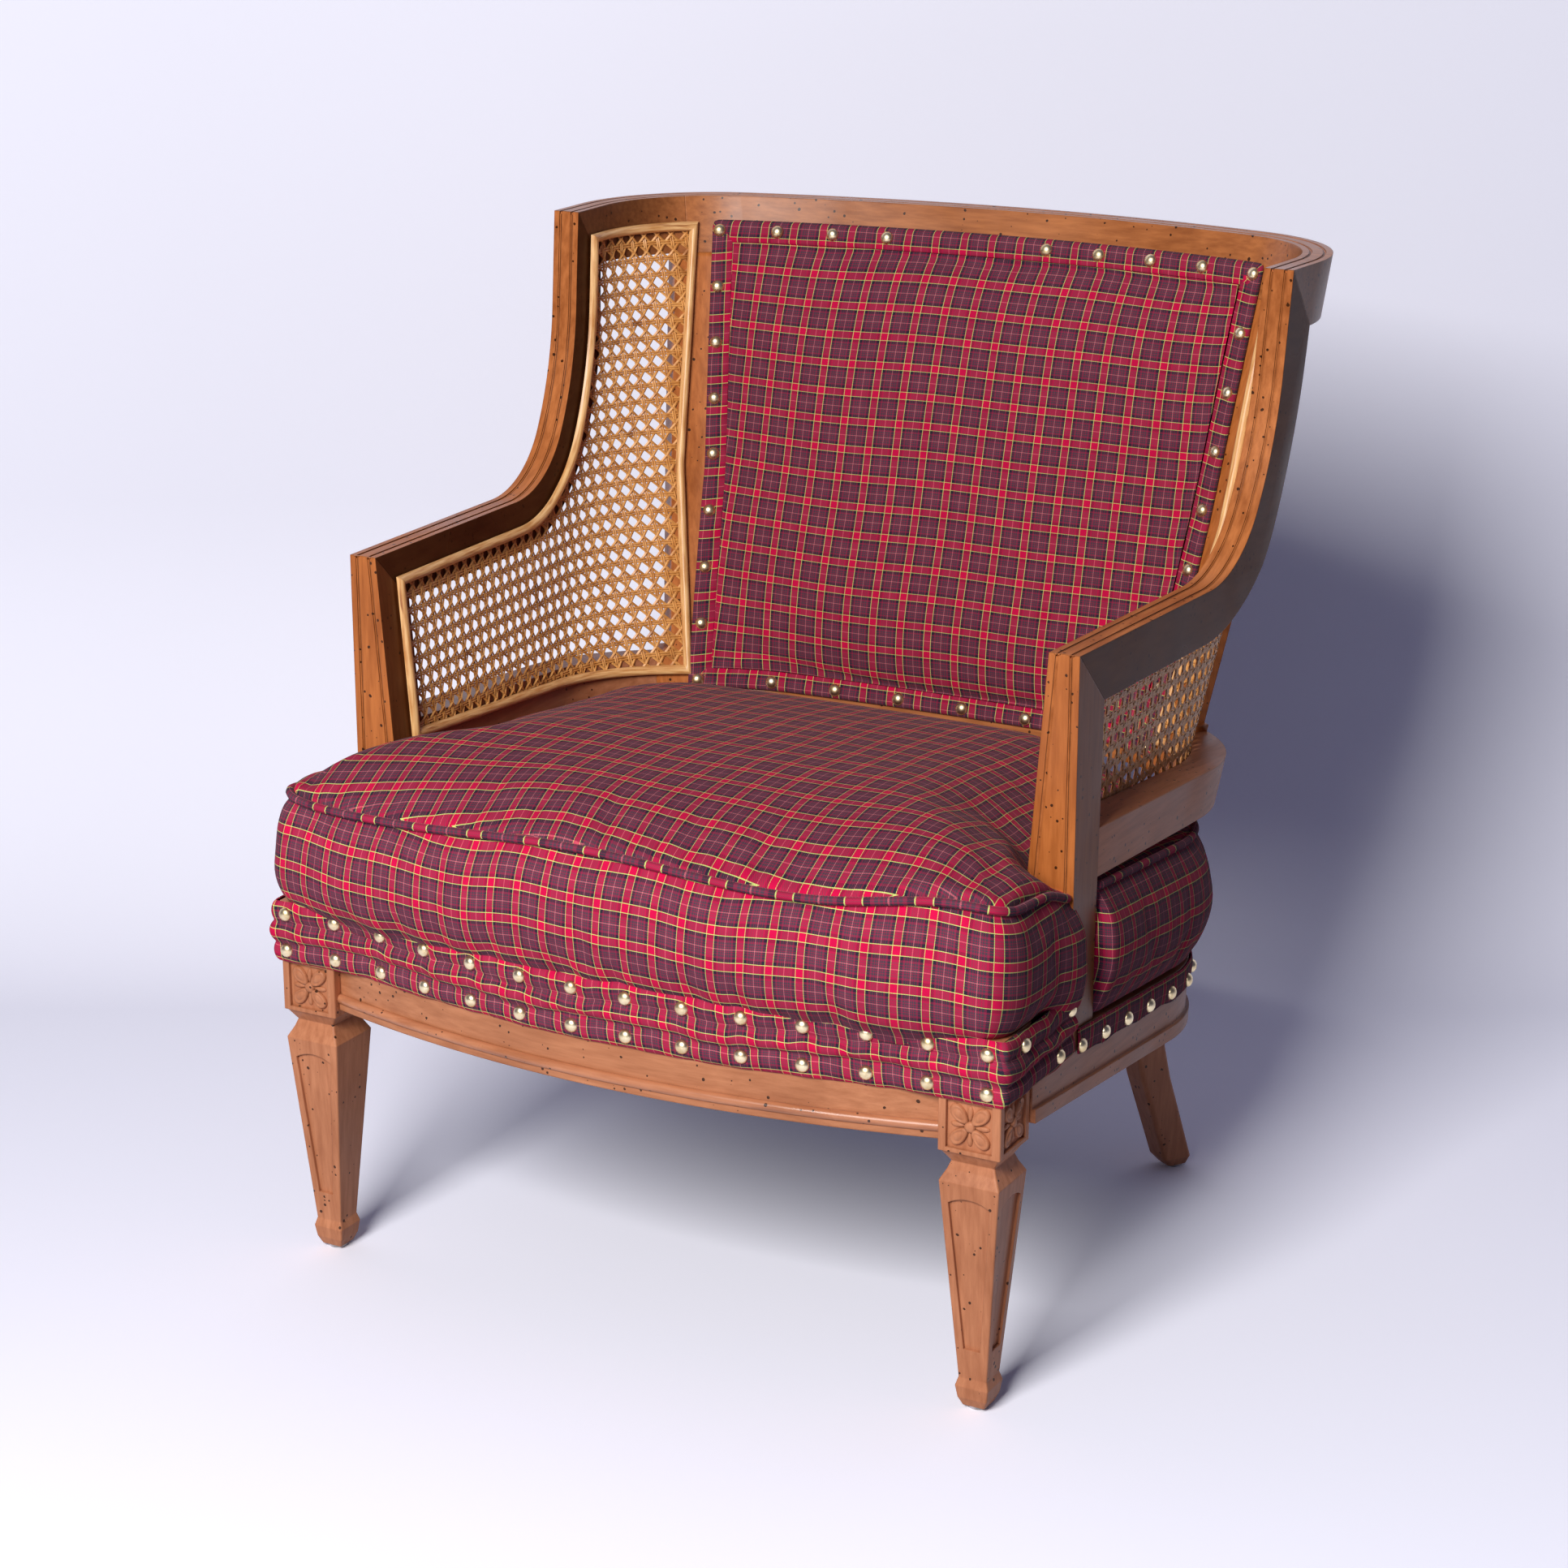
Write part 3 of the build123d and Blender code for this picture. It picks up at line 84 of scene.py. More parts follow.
def made_by(add, **settings):
    """Run an add operator with nothing selected and return the new object."""
    bpy.ops.object.select_all(action="DESELECT")
    add(**settings)
    return bpy.context.object


camera = made_by(bpy.ops.object.camera_add, location=camera_place, rotation=looking(view_direction))
camera.data.sensor_width = 36
camera.data.lens = 78.91
scene.camera = camera
print("camera", tuple(round(value, 3) for value in camera_place))

# %% [markdown]
# ## Studio
# The chair stands on pale paper that sweeps up behind it and catches its soft shadow on the right.
# One large lamp in front of the chair, left of the camera, makes the shadow, and a dim, bluish sky fills it.
# A weak lamp shows the back of the chair. It shines through the paper, which is see-through from behind.

# %% Paper sweep
paper_size, paper_back, paper_rise, paper_lean, bend_size = 12, 0.85, 5, 0.25, 0.42


def pick_back_edge():
    """Select the edge where the paper leaves the floor and go on in edit mode."""
    bpy.ops.object.mode_set(mode="OBJECT")
    for edge in paper.data.edges:
        edge.select = all(abs(paper.data.vertices[end].co.y - paper_back) < 0.01 for end in edge.vertices)
    bpy.ops.object.mode_set(mode="EDIT")


paper_middle = (0, paper_back - paper_size / 2, 0)
paper = made_by(bpy.ops.mesh.primitive_plane_add, size=paper_size, location=paper_middle)
paper.name = "paper_sweep"
bpy.ops.object.transform_apply(location=True)
bpy.ops.object.mode_set(mode="EDIT")
bpy.ops.mesh.select_mode(type="EDGE")
bpy.ops.mesh.select_all(action="DESELECT")
pick_back_edge()
bpy.ops.mesh.extrude_region_move(TRANSFORM_OT_translate={"value": (0, paper_lean, paper_rise)})
pick_back_edge()
bpy.ops.mesh.bevel(offset=bend_size, segments=14, affect="EDGES")
bpy.ops.object.mode_set(mode="OBJECT")
paper.rotation_euler.z = math.atan2(-view_direction.x, view_direction.y)
bpy.ops.object.transform_apply(rotation=True)
bpy.ops.object.shade_smooth()
print("paper", len(paper.data.polygons), "faces")

# %% Lamps and sky
lamp_aim = Vector((0, 0, 0.45))


def soft_box(name, place, size, watts, colour):
    aim = looking(lamp_aim - Vector(place))
    lamp = made_by(bpy.ops.object.light_add, type="AREA", location=place, rotation=aim)
    lamp.name = name
    lamp.data.size = size
    lamp.data.energy = watts
    lamp.data.color = colour
    print(name, watts, "watts")


soft_box("key_lamp", (0.28, -3.6, 2.6), 1.6, 190, (1.0, 0.975, 0.955))
soft_box("rear_lamp", (-0.5, 3.4, 2.4), 2.4, 48, (0.82, 0.86, 1.0))

sky = bpy.data.worlds.new("studio_sky")
scene.world = sky
sky.use_nodes = True
sky_light = sky.node_tree.nodes["Background"]
sky_light.inputs["Color"].default_value = (0.56, 0.58, 1.0, 1)
sky_light.inputs["Strength"].default_value = 0.1
print("sky", sky.name)

# %% [markdown]
# ## Helpers for placing work
# One function moves points from the drawing to the frame, and some others help with lines of points.
# The rest do what a hand does in the viewport: select one piece, edit it, add a modifier and apply it,
# or join pieces.

# %% Lines and places
def placed(x, y, z):
    """Points of the drawing, in millimetres, as points of the frame in metres."""
    x, y, z = np.broadcast_arrays(np.asarray(x, float), y, z)
    return np.stack([x, y - drawing_shift, z], axis=-1) / 1000


def ray(turn):
    """Direction in a plane at an angle."""
    return np.stack([np.cos(turn), np.sin(turn)], axis=-1)


def unit(vectors):
    return vectors / np.linalg.norm(vectors, axis=-1, keepdims=True)


def steps(first, last, count):
    """Even steps from the first towards the last, which is left out."""
    return np.linspace(first, last, count + 1)[:-1]


def run_along(line):
    """Distance of each point of a line from the line's first point."""
    return np.concatenate([[0], np.cumsum(np.linalg.norm(np.diff(line, axis=0), axis=1))])


def closed(line):
    return np.concatenate([line, line[:1]])


def and_back(right):
    """A right-hand plan line that ends on the middle, followed by its mirror image."""
    return np.concatenate([right, right[-2::-1] * (-1, 1)])


def waves(a, b, *sizes):
    """Sum of slow waves over two distances; each is (height, length along a, length along b, start)."""
    total = np.zeros(np.broadcast(a, b).shape)
    for height, along_a, along_b, start in sizes:
        total = total + height * np.sin(2 * math.pi * (a / along_a + b / along_b) + start)
    return total


print("helpers for lines ready")

# %% Hand work
def points_of(piece):
    flat_list = np.empty(3 * len(piece.data.vertices))
    piece.data.vertices.foreach_get("co", flat_list)
    return flat_list.reshape(-1, 3)


def move_points(piece, points):
    piece.data.vertices.foreach_set("co", np.ascontiguousarray(points, float).ravel())
    piece.data.update()


def only(piece):
    """Make one piece the only selected and active one, as a click in the viewport does."""
    bpy.ops.object.select_all(action="DESELECT")
    piece.select_set(True)
    bpy.context.view_layer.objects.active = piece


def join(pieces, name):
    """Join pieces into the first one and name it."""
    only(pieces[0])
    for piece in pieces:
        piece.select_set(True)
    bpy.ops.object.join()
    pieces[0].name = pieces[0].data.name = name
    return pieces[0]


def twin_of(piece):
    only(piece)
    bpy.ops.object.duplicate()
    return bpy.context.object


def edit(piece, *jobs):
    """Run edit-mode operators on the whole of a piece."""
    only(piece)
    bpy.ops.object.mode_set(mode="EDIT")
    bpy.ops.mesh.select_mode(type="VERT")
    bpy.ops.mesh.select_all(action="SELECT")
    for job in jobs:
        job()
    bpy.ops.object.mode_set(mode="OBJECT")


def drop_points(piece, chosen):
    """Delete the chosen points of a piece with all that hangs on them."""
    edit(piece, lambda: bpy.ops.mesh.select_all(action="DESELECT"))
    piece.data.vertices.foreach_set("select", chosen)
    bpy.ops.object.mode_set(mode="EDIT")
    bpy.ops.mesh.delete(type="VERT")
    bpy.ops.object.mode_set(mode="OBJECT")


def weld():
    bpy.ops.mesh.remove_doubles(threshold=0.00005)


def close_ends():
    """Fill each open rim with one face."""
    bpy.ops.mesh.select_all(action="DESELECT")
    bpy.ops.mesh.select_non_manifold()
    bpy.ops.mesh.edge_face_add()
    bpy.ops.mesh.select_all(action="SELECT")


def face_out():
    bpy.ops.mesh.normals_make_consistent(inside=False)


def finish_with(piece, kind, **settings):
    """Add one modifier, set it up and apply it."""
    only(piece)
    modifier = piece.modifiers.new(kind.lower(), kind)
    for key, value in settings.items():
        setattr(modifier, key, value)
    bpy.ops.object.modifier_apply(modifier=modifier.name)


def dress(piece, material):
    """Give a piece its finish and let it ride on the chair."""
    piece.data.materials.clear()
    piece.data.materials.append(material)
    only(piece)
    bpy.ops.object.shade_smooth_by_angle(angle=math.radians(50))
    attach(piece, "root")
    print(piece.name, len(piece.data.polygons), "faces")


print("helpers for hand work ready")

# %% [markdown]
# A grid laid on rows of points makes every cloth, bead and leaf, and left-hand pieces are mirrored copies.

# %% Grids and mirror images
def lay_grid(name, points, weave):
    """A grid laid on rows of points; weave holds each point's spot on the flat cloth, in metres."""
    points, weave = np.array(points), np.array(weave)
    rows, columns = len(points) - 1, len(points[0]) - 1
    piece = made_by(bpy.ops.mesh.primitive_grid_add, x_subdivisions=columns, y_subdivisions=rows, size=2)
    piece.name = piece.data.name = name
    share = (points_of(piece) + 1) / 2
    column = np.rint(share[:, 0] * columns).astype(int)
    row = np.rint(share[:, 1] * rows).astype(int)
    move_points(piece, points[row, column])
    corners = np.empty(len(piece.data.loops), int)
    piece.data.loops.foreach_get("vertex_index", corners)
    spots = weave[row, column][corners]
    piece.data.uv_layers.active.data.foreach_set("uv", np.ascontiguousarray(spots, float).ravel())
    return piece


def mirrored(piece, name):
    """A copy of a right-hand piece for the left side."""
    twin = twin_of(piece)
    twin.name = twin.data.name = name
    move_points(twin, points_of(twin) * (-1, 1, 1))
    edit(twin, bpy.ops.mesh.flip_normals)
    return twin


print("helpers for grids ready")

# %% [markdown]
# ## Finishes
# Every finish is worked out by nodes: noise for grain and wear, a small cell pattern for the fly specks,
# and an occlusion mask that paints shade, with some dirt, into grooves and joints, or paints light into them.
# A small class adds the nodes, sets their inputs and wires them.

# %% Node helper
white = (1.0, 1.0, 1.0)
dark = (0.0, 0.0, 0.0)


class Finish:
    """A material under way: most methods add a node and return one of its outputs."""

    def __init__(self, name, **inputs):
        self.material = bpy.data.materials.new(name)
        self.material.use_nodes = True
        self.tree = self.material.node_tree
        self.shader = self.tree.nodes["Principled BSDF"]
        self.fill(self.shader, inputs)

    def fill(self, made, inputs):
        """Set or wire a node's inputs, called by name, or by n and a number where names repeat."""
        for key, value in inputs.items():
            place = int(key[1:]) if key[0] == "n" and key[1:].isdigit() else key.replace("_", " ")
            if isinstance(value, bpy.types.NodeSocket):
                self.tree.links.new(value, made.inputs[place])
            else:
                made.inputs[place].default_value = value

    def node(self, kind, output=0, settings=None, **inputs):
        made = self.tree.nodes.new("ShaderNode" + kind)
        for key, value in (settings or {}).items():
            setattr(made, key, value)
        self.fill(made, inputs)
        return made.outputs[output]

    def noise(self, place, scale, detail, **inputs):
        return self.node("TexNoise", Vector=place, Scale=scale, Detail=detail, **inputs)

    def maths(self, operation, *values):
        inputs = {f"n{number}": value for number, value in enumerate(values)}
        return self.node("Math", settings={"operation": operation}, **inputs)

    def axis(self, vector, number):
        return self.node("SeparateXYZ", output=number, Vector=vector)

    def ramp(self, share, stops, mode="LINEAR"):
        """Colour ramp from a list of (place, colour)."""
        colour = self.node("ValToRGB", Fac=share)
        scale = colour.node.color_ramp
        scale.interpolation = mode
        while len(scale.elements) < len(stops):
            scale.elements.new(0.5)
        for element, (place, tint) in zip(scale.elements, stops):
            element.position = place
            element.color = (*tint, 1)
        return colour

    def blend(self, share, first, second, mode="MIX"):
        """Mix two colours; a colour may be a socket or three numbers."""
        pair = [value if isinstance(value, bpy.types.NodeSocket) else (*value, 1)
                for value in (first, second)]
        settings = {"data_type": "RGBA", "blend_type": mode}
        return self.node("Mix", output=2, settings=settings, n0=share, n6=pair[0], n7=pair[1])

    def shaded(self, colour, strength, share, stops):
        """A colour multiplied by a ramp."""
        return self.blend(strength, colour, self.ramp(share, stops), "MULTIPLY")

    # Ambient occlusion: ramps on it paint shade into hollows, or paint light into them.
    def crevices(self, distance):
        return self.node("AmbientOcclusion", output="AO", settings={"samples": 8}, Distance=distance)

    def done(self, **inputs):
        """Wire the shader and hand over the material."""
        self.fill(self.shader, inputs)
        return self.material


print("node helper ready")

# %% [markdown]
# ## Wood
# Each wood has a pale and a deep colour, the way its grain runs, and how rough and glossy it is.
# Arms, posts, stiles and crest get painted shade on their sides, and painted light in their grooves, where
# the other woods get dirt and painted shade.

# %% Wood
grain_up, grain_across, grain_back = (1.0, 1.0, 0.09), (0.09, 1.0, 1.0), (1.0, 0.09, 1.0)
arm_grain = (1.0, 0.1, 0.35)
# Groove tones for the occlusion mask: the first paints shade and dirt into grooves, the second paints light
# into them.
groove_dirt_and_shade, groove_painted_light = (0.58, 0.52, 0.48), (1.5, 1.4, 1.35)


def wood_finish(name, pale, deep, grain=grain_up, roughness=0.36, gloss=0.24, painted_side_shade=1.0,
                groove=groove_dirt_and_shade):
    """Old stained wood: streaks along the grain, fly specks, grooves toned through an occlusion mask with
    painted shade and dirt or with painted light, and painted shade on the sides.
    """
    wood = Finish(name, Specular_IOR_Level=gloss)
    place = wood.node("TexCoord", output="Object")
    streaks = wood.noise(wood.node("Mapping", Vector=place, Scale=grain), 210.0, 5.0, Roughness=0.6)
    clouds = wood.noise(place, 9.0, 3.0)
    colour = wood.ramp(streaks, [(0.32, deep), (0.66, pale)])
    colour = wood.shaded(colour, 0.8, clouds, [(0.3, (0.72, 0.66, 0.6)), (0.62, white)])
    # Faces turned to the sides are darkened by a factor: painted shade.
    sideways = wood.maths("ABSOLUTE", wood.axis(wood.node("NewGeometry", output="Normal"), 0))
    colour = wood.shaded(colour, 1.0, sideways, [(0.6, white), (0.92, (painted_side_shade,) * 3)])
    drift = wood.node("TexNoise", output="Color", Vector=place, Scale=60.0)
    speck_place = wood.node("VectorMath", settings={"operation": "MULTIPLY_ADD"},
                            n0=drift, n1=(0.004,) * 3, n2=place)
    cells = wood.node("TexVoronoi", Vector=speck_place, Scale=210.0)
    chance = wood.node("SeparateColor", Color=cells.node.outputs["Color"])
    speck = wood.maths("LESS_THAN", cells, wood.maths("MULTIPLY_ADD", chance, 1.1, -0.78))
    colour = wood.blend(speck, colour, tuple(0.14 * value for value in deep))
    # Grooves and joints take the groove tone through the occlusion mask: painted shade and dirt, or painted
    # light.
    colour = wood.shaded(colour, 1.0, wood.crevices(0.003), [(0.2, groove), (0.7, white)])
    wear = wood.node("MapRange", Value=clouds, From_Min=0.3, From_Max=0.7,
                     To_Min=roughness - 0.08, To_Max=roughness + 0.14)
    soft_edge = wood.node("Bevel", settings={"samples": 4}, Radius=0.0014)
    relief = wood.node("Bump", Strength=0.12, Distance=0.0004, Height=streaks, Normal=soft_edge)
    return wood.done(Base_Color=colour, Roughness=wear, Normal=relief)


leg_pale, leg_deep = (0.62, 0.255, 0.125), (0.47, 0.175, 0.08)
leg_wood = wood_finish("leg_wood", leg_pale, leg_deep, roughness=0.42)
bead_wood = wood_finish("bead_wood", leg_pale, leg_deep, grain_across, roughness=0.26, gloss=0.5)
frame_wood = wood_finish("frame_wood", (0.58, 0.185, 0.046), (0.40, 0.115, 0.025),
                         painted_side_shade=0.42, groove=groove_painted_light)
arm_wood = wood_finish("arm_wood", (0.58, 0.195, 0.058), (0.38, 0.115, 0.031), arm_grain,
                       roughness=0.3, gloss=0.09, painted_side_shade=0.22, groove=groove_painted_light)
crest_wood = wood_finish("crest_wood", (0.50, 0.175, 0.052), (0.33, 0.104, 0.029), grain_across,
                         roughness=0.32, gloss=0.36, painted_side_shade=0.45, groove=groove_painted_light)
rail_wood = wood_finish("rail_wood", (0.46, 0.180, 0.085), (0.32, 0.115, 0.05), grain_back)
front_rail_wood = wood_finish("front_rail_wood", (0.60, 0.250, 0.120), (0.45, 0.170, 0.075), grain_across)
raw_wood = wood_finish("raw_wood", (0.50, 0.36, 0.22), (0.36, 0.24, 0.13), roughness=0.62)
print("wood finishes made")

# %% [markdown]
# ## Cane and reed
# Cane is the bark of the rattan and reed its core. Both are streaky, and a reed's streaks follow its length.

# %% Cane and reed
def cane_finish(name, pale, deep, patch, streak, roughness, stretch=None):
    """Split cane: glossy skin with streaks and darker patches; a stretch draws both out along the weave."""
    skin = Finish(name)
    place = skin.node("TexCoord", output="Object")
    if stretch:
        place = skin.node("Mapping", Vector=skin.node("UVMap", settings={"uv_map": "UVMap"}), Scale=stretch)
    streaks = skin.noise(place, streak, 4.0)
    colour = skin.ramp(streaks, [(0.34, deep), (0.62, pale)])
    patches = skin.ramp(skin.noise(place, 34.0, 2.0), [(0.62, dark), (0.72, white)])
    colour = skin.blend(patches, colour, patch)
    # Hollows between strands are darkened through the occlusion mask: painted shade.
    colour = skin.shaded(colour, 0.8, skin.crevices(0.0025), [(0.25, (0.30, 0.20, 0.14)), (0.8, white)])
    wear = skin.node("MapRange", Value=streaks, To_Min=roughness - 0.1, To_Max=roughness + 0.15)
    return skin.done(Base_Color=colour, Roughness=wear)


cane = cane_finish("cane", (0.80, 0.40, 0.12), (0.58, 0.24, 0.055), (0.40, 0.15, 0.035), 160.0, 0.34)
reed = cane_finish("reed", (0.92, 0.56, 0.24), (0.60, 0.26, 0.075), (0.40, 0.15, 0.045), 60.0, 0.32,
                   stretch=(0.6, 9.0, 1.0))
print("cane and reed made")

# %% [markdown]
# ## Plaid
# The cloth is a woven check: the same order of coloured threads runs both ways, about 25 mm to a repeat.
# Each thread colour comes from a stepped ramp over the repeat, once along the warp and once along the weft,
# and a fine twill decides which of the two lies on top.

# %% Plaid cloth
warp_repeat, weft_repeat, twill_repeat = 0.0272, 0.0242, 0.0012
red, yellow, black = (0.57, 0.004, 0.058), (0.60, 0.70, 0.19), (0.022, 0.017, 0.032)
field, dim, pink = (0.066, 0.044, 0.060), (0.25, 0.020, 0.055), (0.62, 0.15, 0.18)
yellow_from, yellow_to = 0.72, 0.76
thread_order = [(0.0, pink), (0.026, field), (0.10, dim), (0.15, field), (0.24, dim), (0.29, field),
                (0.40, dim), (0.52, black), (yellow_from, yellow), (yellow_to, red)]
faded_threads = [(0.35, (0.72, 0.72, 0.76)), (0.65, white)]
yellow_only = [(0.0, dark), (yellow_from, white), (yellow_to, dark)]


def plaid_finish(name, front_painted_light, side_painted_shade):
    """Woven plaid, with painted light on what faces the front by one gain and painted shade on the sides by
    another.
    """
    cloth = Finish(name, Roughness=0.92, Sheen_Weight=0.04, Sheen_Roughness=0.5, Specular_IOR_Level=0.12)
    spot = cloth.node("UVMap", settings={"uv_map": "UVMap"})
    across, along = cloth.axis(spot, 0), cloth.axis(spot, 1)

    def threads(distance, repeat):
        """Colour of the thread at a distance, and where it is one of the raised yellow ones."""
        turn = cloth.maths("FRACT", cloth.maths("DIVIDE", distance, repeat))
        share = cloth.maths("MULTIPLY", cloth.maths("ABSOLUTE", cloth.maths("SUBTRACT", turn, 0.5)), 2.0)
        return cloth.ramp(share, thread_order, "CONSTANT"), cloth.ramp(share, yellow_only, "CONSTANT")

    warp, warp_yellow = threads(across, warp_repeat)
    weft, weft_yellow = threads(along, weft_repeat)
    slant = cloth.maths("MULTIPLY", cloth.maths("ADD", across, along), 2 * math.pi / twill_repeat)
    twill = cloth.maths("SINE", slant)
    lift = cloth.maths("MULTIPLY_ADD", twill, 0.3, 0.5)
    lift = cloth.maths("MULTIPLY_ADD", weft_yellow, 0.15, lift)
    lift = cloth.maths("MULTIPLY_ADD", warp_yellow, -0.35, lift)
    colour = cloth.blend(lift, warp, weft)
    colour = cloth.shaded(colour, 0.5, cloth.noise(spot, 55.0, 3.0), faded_threads)
    # Faces turned to the front get painted light and faces turned to the sides get painted shade, each by its
    # gain.
    facing = cloth.node("NewGeometry", output="Normal")
    frontward = cloth.maths("MULTIPLY", cloth.axis(facing, 1), -1.0)
    colour = cloth.shaded(colour, 1.0, frontward, [(0.35, white), (0.85, (front_painted_light,) * 3)])
    sideward = cloth.maths("ABSOLUTE", cloth.axis(facing, 0))
    colour = cloth.shaded(colour, 1.0, sideward, [(0.5, white), (0.9, (side_painted_shade,) * 3)])
    relief = cloth.node("Bump", Strength=0.25, Distance=0.0002, Height=twill)
    return cloth.done(Base_Color=colour, Normal=relief)


plaid = plaid_finish("plaid", 1.0, 1.0)
# The seat's copy of the plaid carries painted light on its front and painted shade on its sides.
seat_plaid_painted_light = plaid_finish("seat_plaid_painted_light", 1.35, 0.72)
print("plaid made")

# %% [markdown]
# ## Plain cloth and metal
# Webbing, burlap and the dust cover are plain weaves, and steel and brass have a patchy polish.

# %% Plain cloth, steel and brass
def weave_finish(name, pale, deep, pitch):
    """Coarse plain weave for webbing, burlap and the dust cover."""
    cloth = Finish(name, Roughness=0.9)
    place = cloth.node("TexCoord", output="Object")
    bands = []
    for way in "XYZ":
        bands.append(cloth.node("TexWave", settings={"bands_direction": way}, Vector=place,
                                Scale=0.314 / pitch, Distortion=0.6))
    weave = cloth.maths("MULTIPLY", cloth.maths("ADD", bands[0], bands[1]), bands[2])
    colour = cloth.ramp(weave, [(0.2, deep), (0.8, pale)])
    grime = [(0.35, (0.62, 0.58, 0.55)), (0.65, white)]
    colour = cloth.shaded(colour, 0.6, cloth.noise(place, 14.0, 4.0), grime)
    relief = cloth.node("Bump", Strength=0.4, Distance=0.0005, Height=weave)
    return cloth.done(Base_Color=colour, Normal=relief)


def metal_finish(name, pale, deep, roughness=0.34):
    """Metal with a patchy polish."""
    metal = Finish(name, Metallic=1.0)
    patches = metal.noise(metal.node("TexCoord", output="Object"), 110.0, 4.0)
    wear = metal.node("MapRange", Value=patches, To_Min=roughness + 0.12, To_Max=roughness - 0.08)
    return metal.done(Base_Color=metal.ramp(patches, [(0.36, deep), (0.6, pale)]), Roughness=wear)


webbing = weave_finish("webbing", (0.42, 0.33, 0.2), (0.25, 0.18, 0.1), 0.003)
burlap = weave_finish("burlap", (0.45, 0.34, 0.2), (0.28, 0.19, 0.1), 0.0024)
dust_cloth = weave_finish("dust_cloth", (0.03, 0.03, 0.032), (0.015, 0.015, 0.016), 0.0016)
steel = metal_finish("steel", (0.6, 0.6, 0.62), (0.32, 0.31, 0.3))
brass = metal_finish("brass_nail", (0.94, 0.80, 0.52), (0.72, 0.56, 0.30))
print("cloth and metal finishes made")

# %% [markdown]
# ## Paper
# The paper looks brighter to the camera than it lights the chair, as an overexposed studio sweep does.

# %% Paper
sheet = Finish("paper")
sheet.tree.nodes.remove(sheet.shader)
sheet_place = sheet.node("TexCoord", output="Object")
sheet_normal = sheet.node("NewGeometry", output="Normal")
floor_gain = sheet.node("MapRange", Value=sheet.axis(sheet_normal, 2), To_Min=1.1, To_Max=1.2)
# The paper grows brighter towards the right: painted light.
right_painted_light = sheet.node("MapRange", Value=sheet.axis(sheet_place, 0), From_Min=-1.0, From_Max=0.9,
                        To_Min=0.95, To_Max=1.12)
gain = sheet.maths("MULTIPLY", floor_gain, right_painted_light)
bright = sheet.node("VectorMath", settings={"operation": "SCALE"}, n0=(0.895, 0.905, 1.0), Scale=gain)
dull_tones = [(0.3, (0.36, 0.37, 0.46)), (0.7, (0.41, 0.42, 0.52))]
dull = sheet.ramp(sheet.noise(sheet_place, 1.3, 2.0), dull_tones)
camera_ray = sheet.node("LightPath", output="Is Camera Ray")
rays = camera_ray.node.outputs
in_view = sheet.maths("MAXIMUM", camera_ray, rays["Is Glossy Ray"])
in_view = sheet.maths("MAXIMUM", in_view, rays["Is Transmission Ray"])
matt = sheet.node("BsdfDiffuse", Color=sheet.blend(in_view, dull, bright))
from_behind = sheet.node("NewGeometry", output="Backfacing")
one_sided = sheet.node("MixShader", n0=from_behind, n1=matt, n2=sheet.node("BsdfTransparent"))
sheet.fill(sheet.tree.nodes["Material Output"], {"Surface": one_sided})
paper.data.materials.append(sheet.material)
print("paper made")

# %% [markdown]
# ## The barrel wall
# Cane, beading and back all lie on the inside of a leaning, curved wall.
# In plan the wall is a horseshoe: a straight side, a corner arc and a shallow arc across the back.
# Three such horseshoes at three heights, joined by straight lines, make the wall, as the frame was made.
# A table of the wall lets flat work be rolled onto it: distance along the wall and height give a point.

# %% Horseshoe
class Horseshoe:
    """Right half of a horseshoe outline, from its front end to the middle of its back."""

    def __init__(self, front_x, front_y, toe, corner_radius, back_y, back_radius):
        turn = math.atan(toe)
        self.front = np.array((front_x, front_y))
        self.along = np.array((math.sin(turn), math.cos(turn)))
        self.out = np.array((math.cos(turn), -math.sin(turn)))
        self.corner_radius, self.back_radius = corner_radius, back_radius
        self.back_centre = np.array((0, back_y - back_radius))
        start = self.front - self.out * corner_radius - self.back_centre
        run = start @ self.along
        run = math.sqrt(run**2 - start @ start + (back_radius - corner_radius) ** 2) - run
        self.corner_centre = self.front + self.along * run - self.out * corner_radius
        apart = self.corner_centre - self.back_centre
        self.first_turn, self.last_turn = -turn, math.atan2(apart[1], apart[0])

    def on_corner(self, turn, inset):
        return self.corner_centre + ray(turn) * (self.corner_radius - inset)[..., None]

    def at(self, part, inset):
        """Points at parts 0 to 1 along the side line, 1 to 2 round the corner and 2 to 3 across the back."""
        part, inset = np.broadcast_arrays(np.asarray(part, float), np.asarray(inset, float))
        corner_turn = self.first_turn + np.clip(part - 1, 0, 1) * (self.last_turn - self.first_turn)
        back_turn = self.last_turn + np.clip(part - 2, 0, 1) * (math.pi / 2 - self.last_turn)
        back = self.back_centre + ray(back_turn) * (self.back_radius - inset)[..., None]
        start = self.front - self.out * inset[..., None]
        end = self.on_corner(self.first_turn, inset)
        side = start + (end - start) * np.clip(part, 0, 1)[..., None]
        part = part[..., None]
        return np.where(part <= 1, side, np.where(part <= 2, self.on_corner(corner_turn, inset), back))

    def y_at(self, x, inset):
        """Place of the corner or the back at a distance x from the middle."""
        x = np.abs(x)
        edge = self.on_corner(self.last_turn, np.asarray(inset, float))[..., 0]
        back = self.back_centre[1] + np.sqrt((self.back_radius - inset) ** 2 - x**2)
        reach = np.clip((self.corner_radius - inset) ** 2 - (x - self.corner_centre[0]) ** 2, 0, None)
        return np.where(x <= edge, back, self.corner_centre[1] + np.sqrt(reach))


print("horseshoe ready")

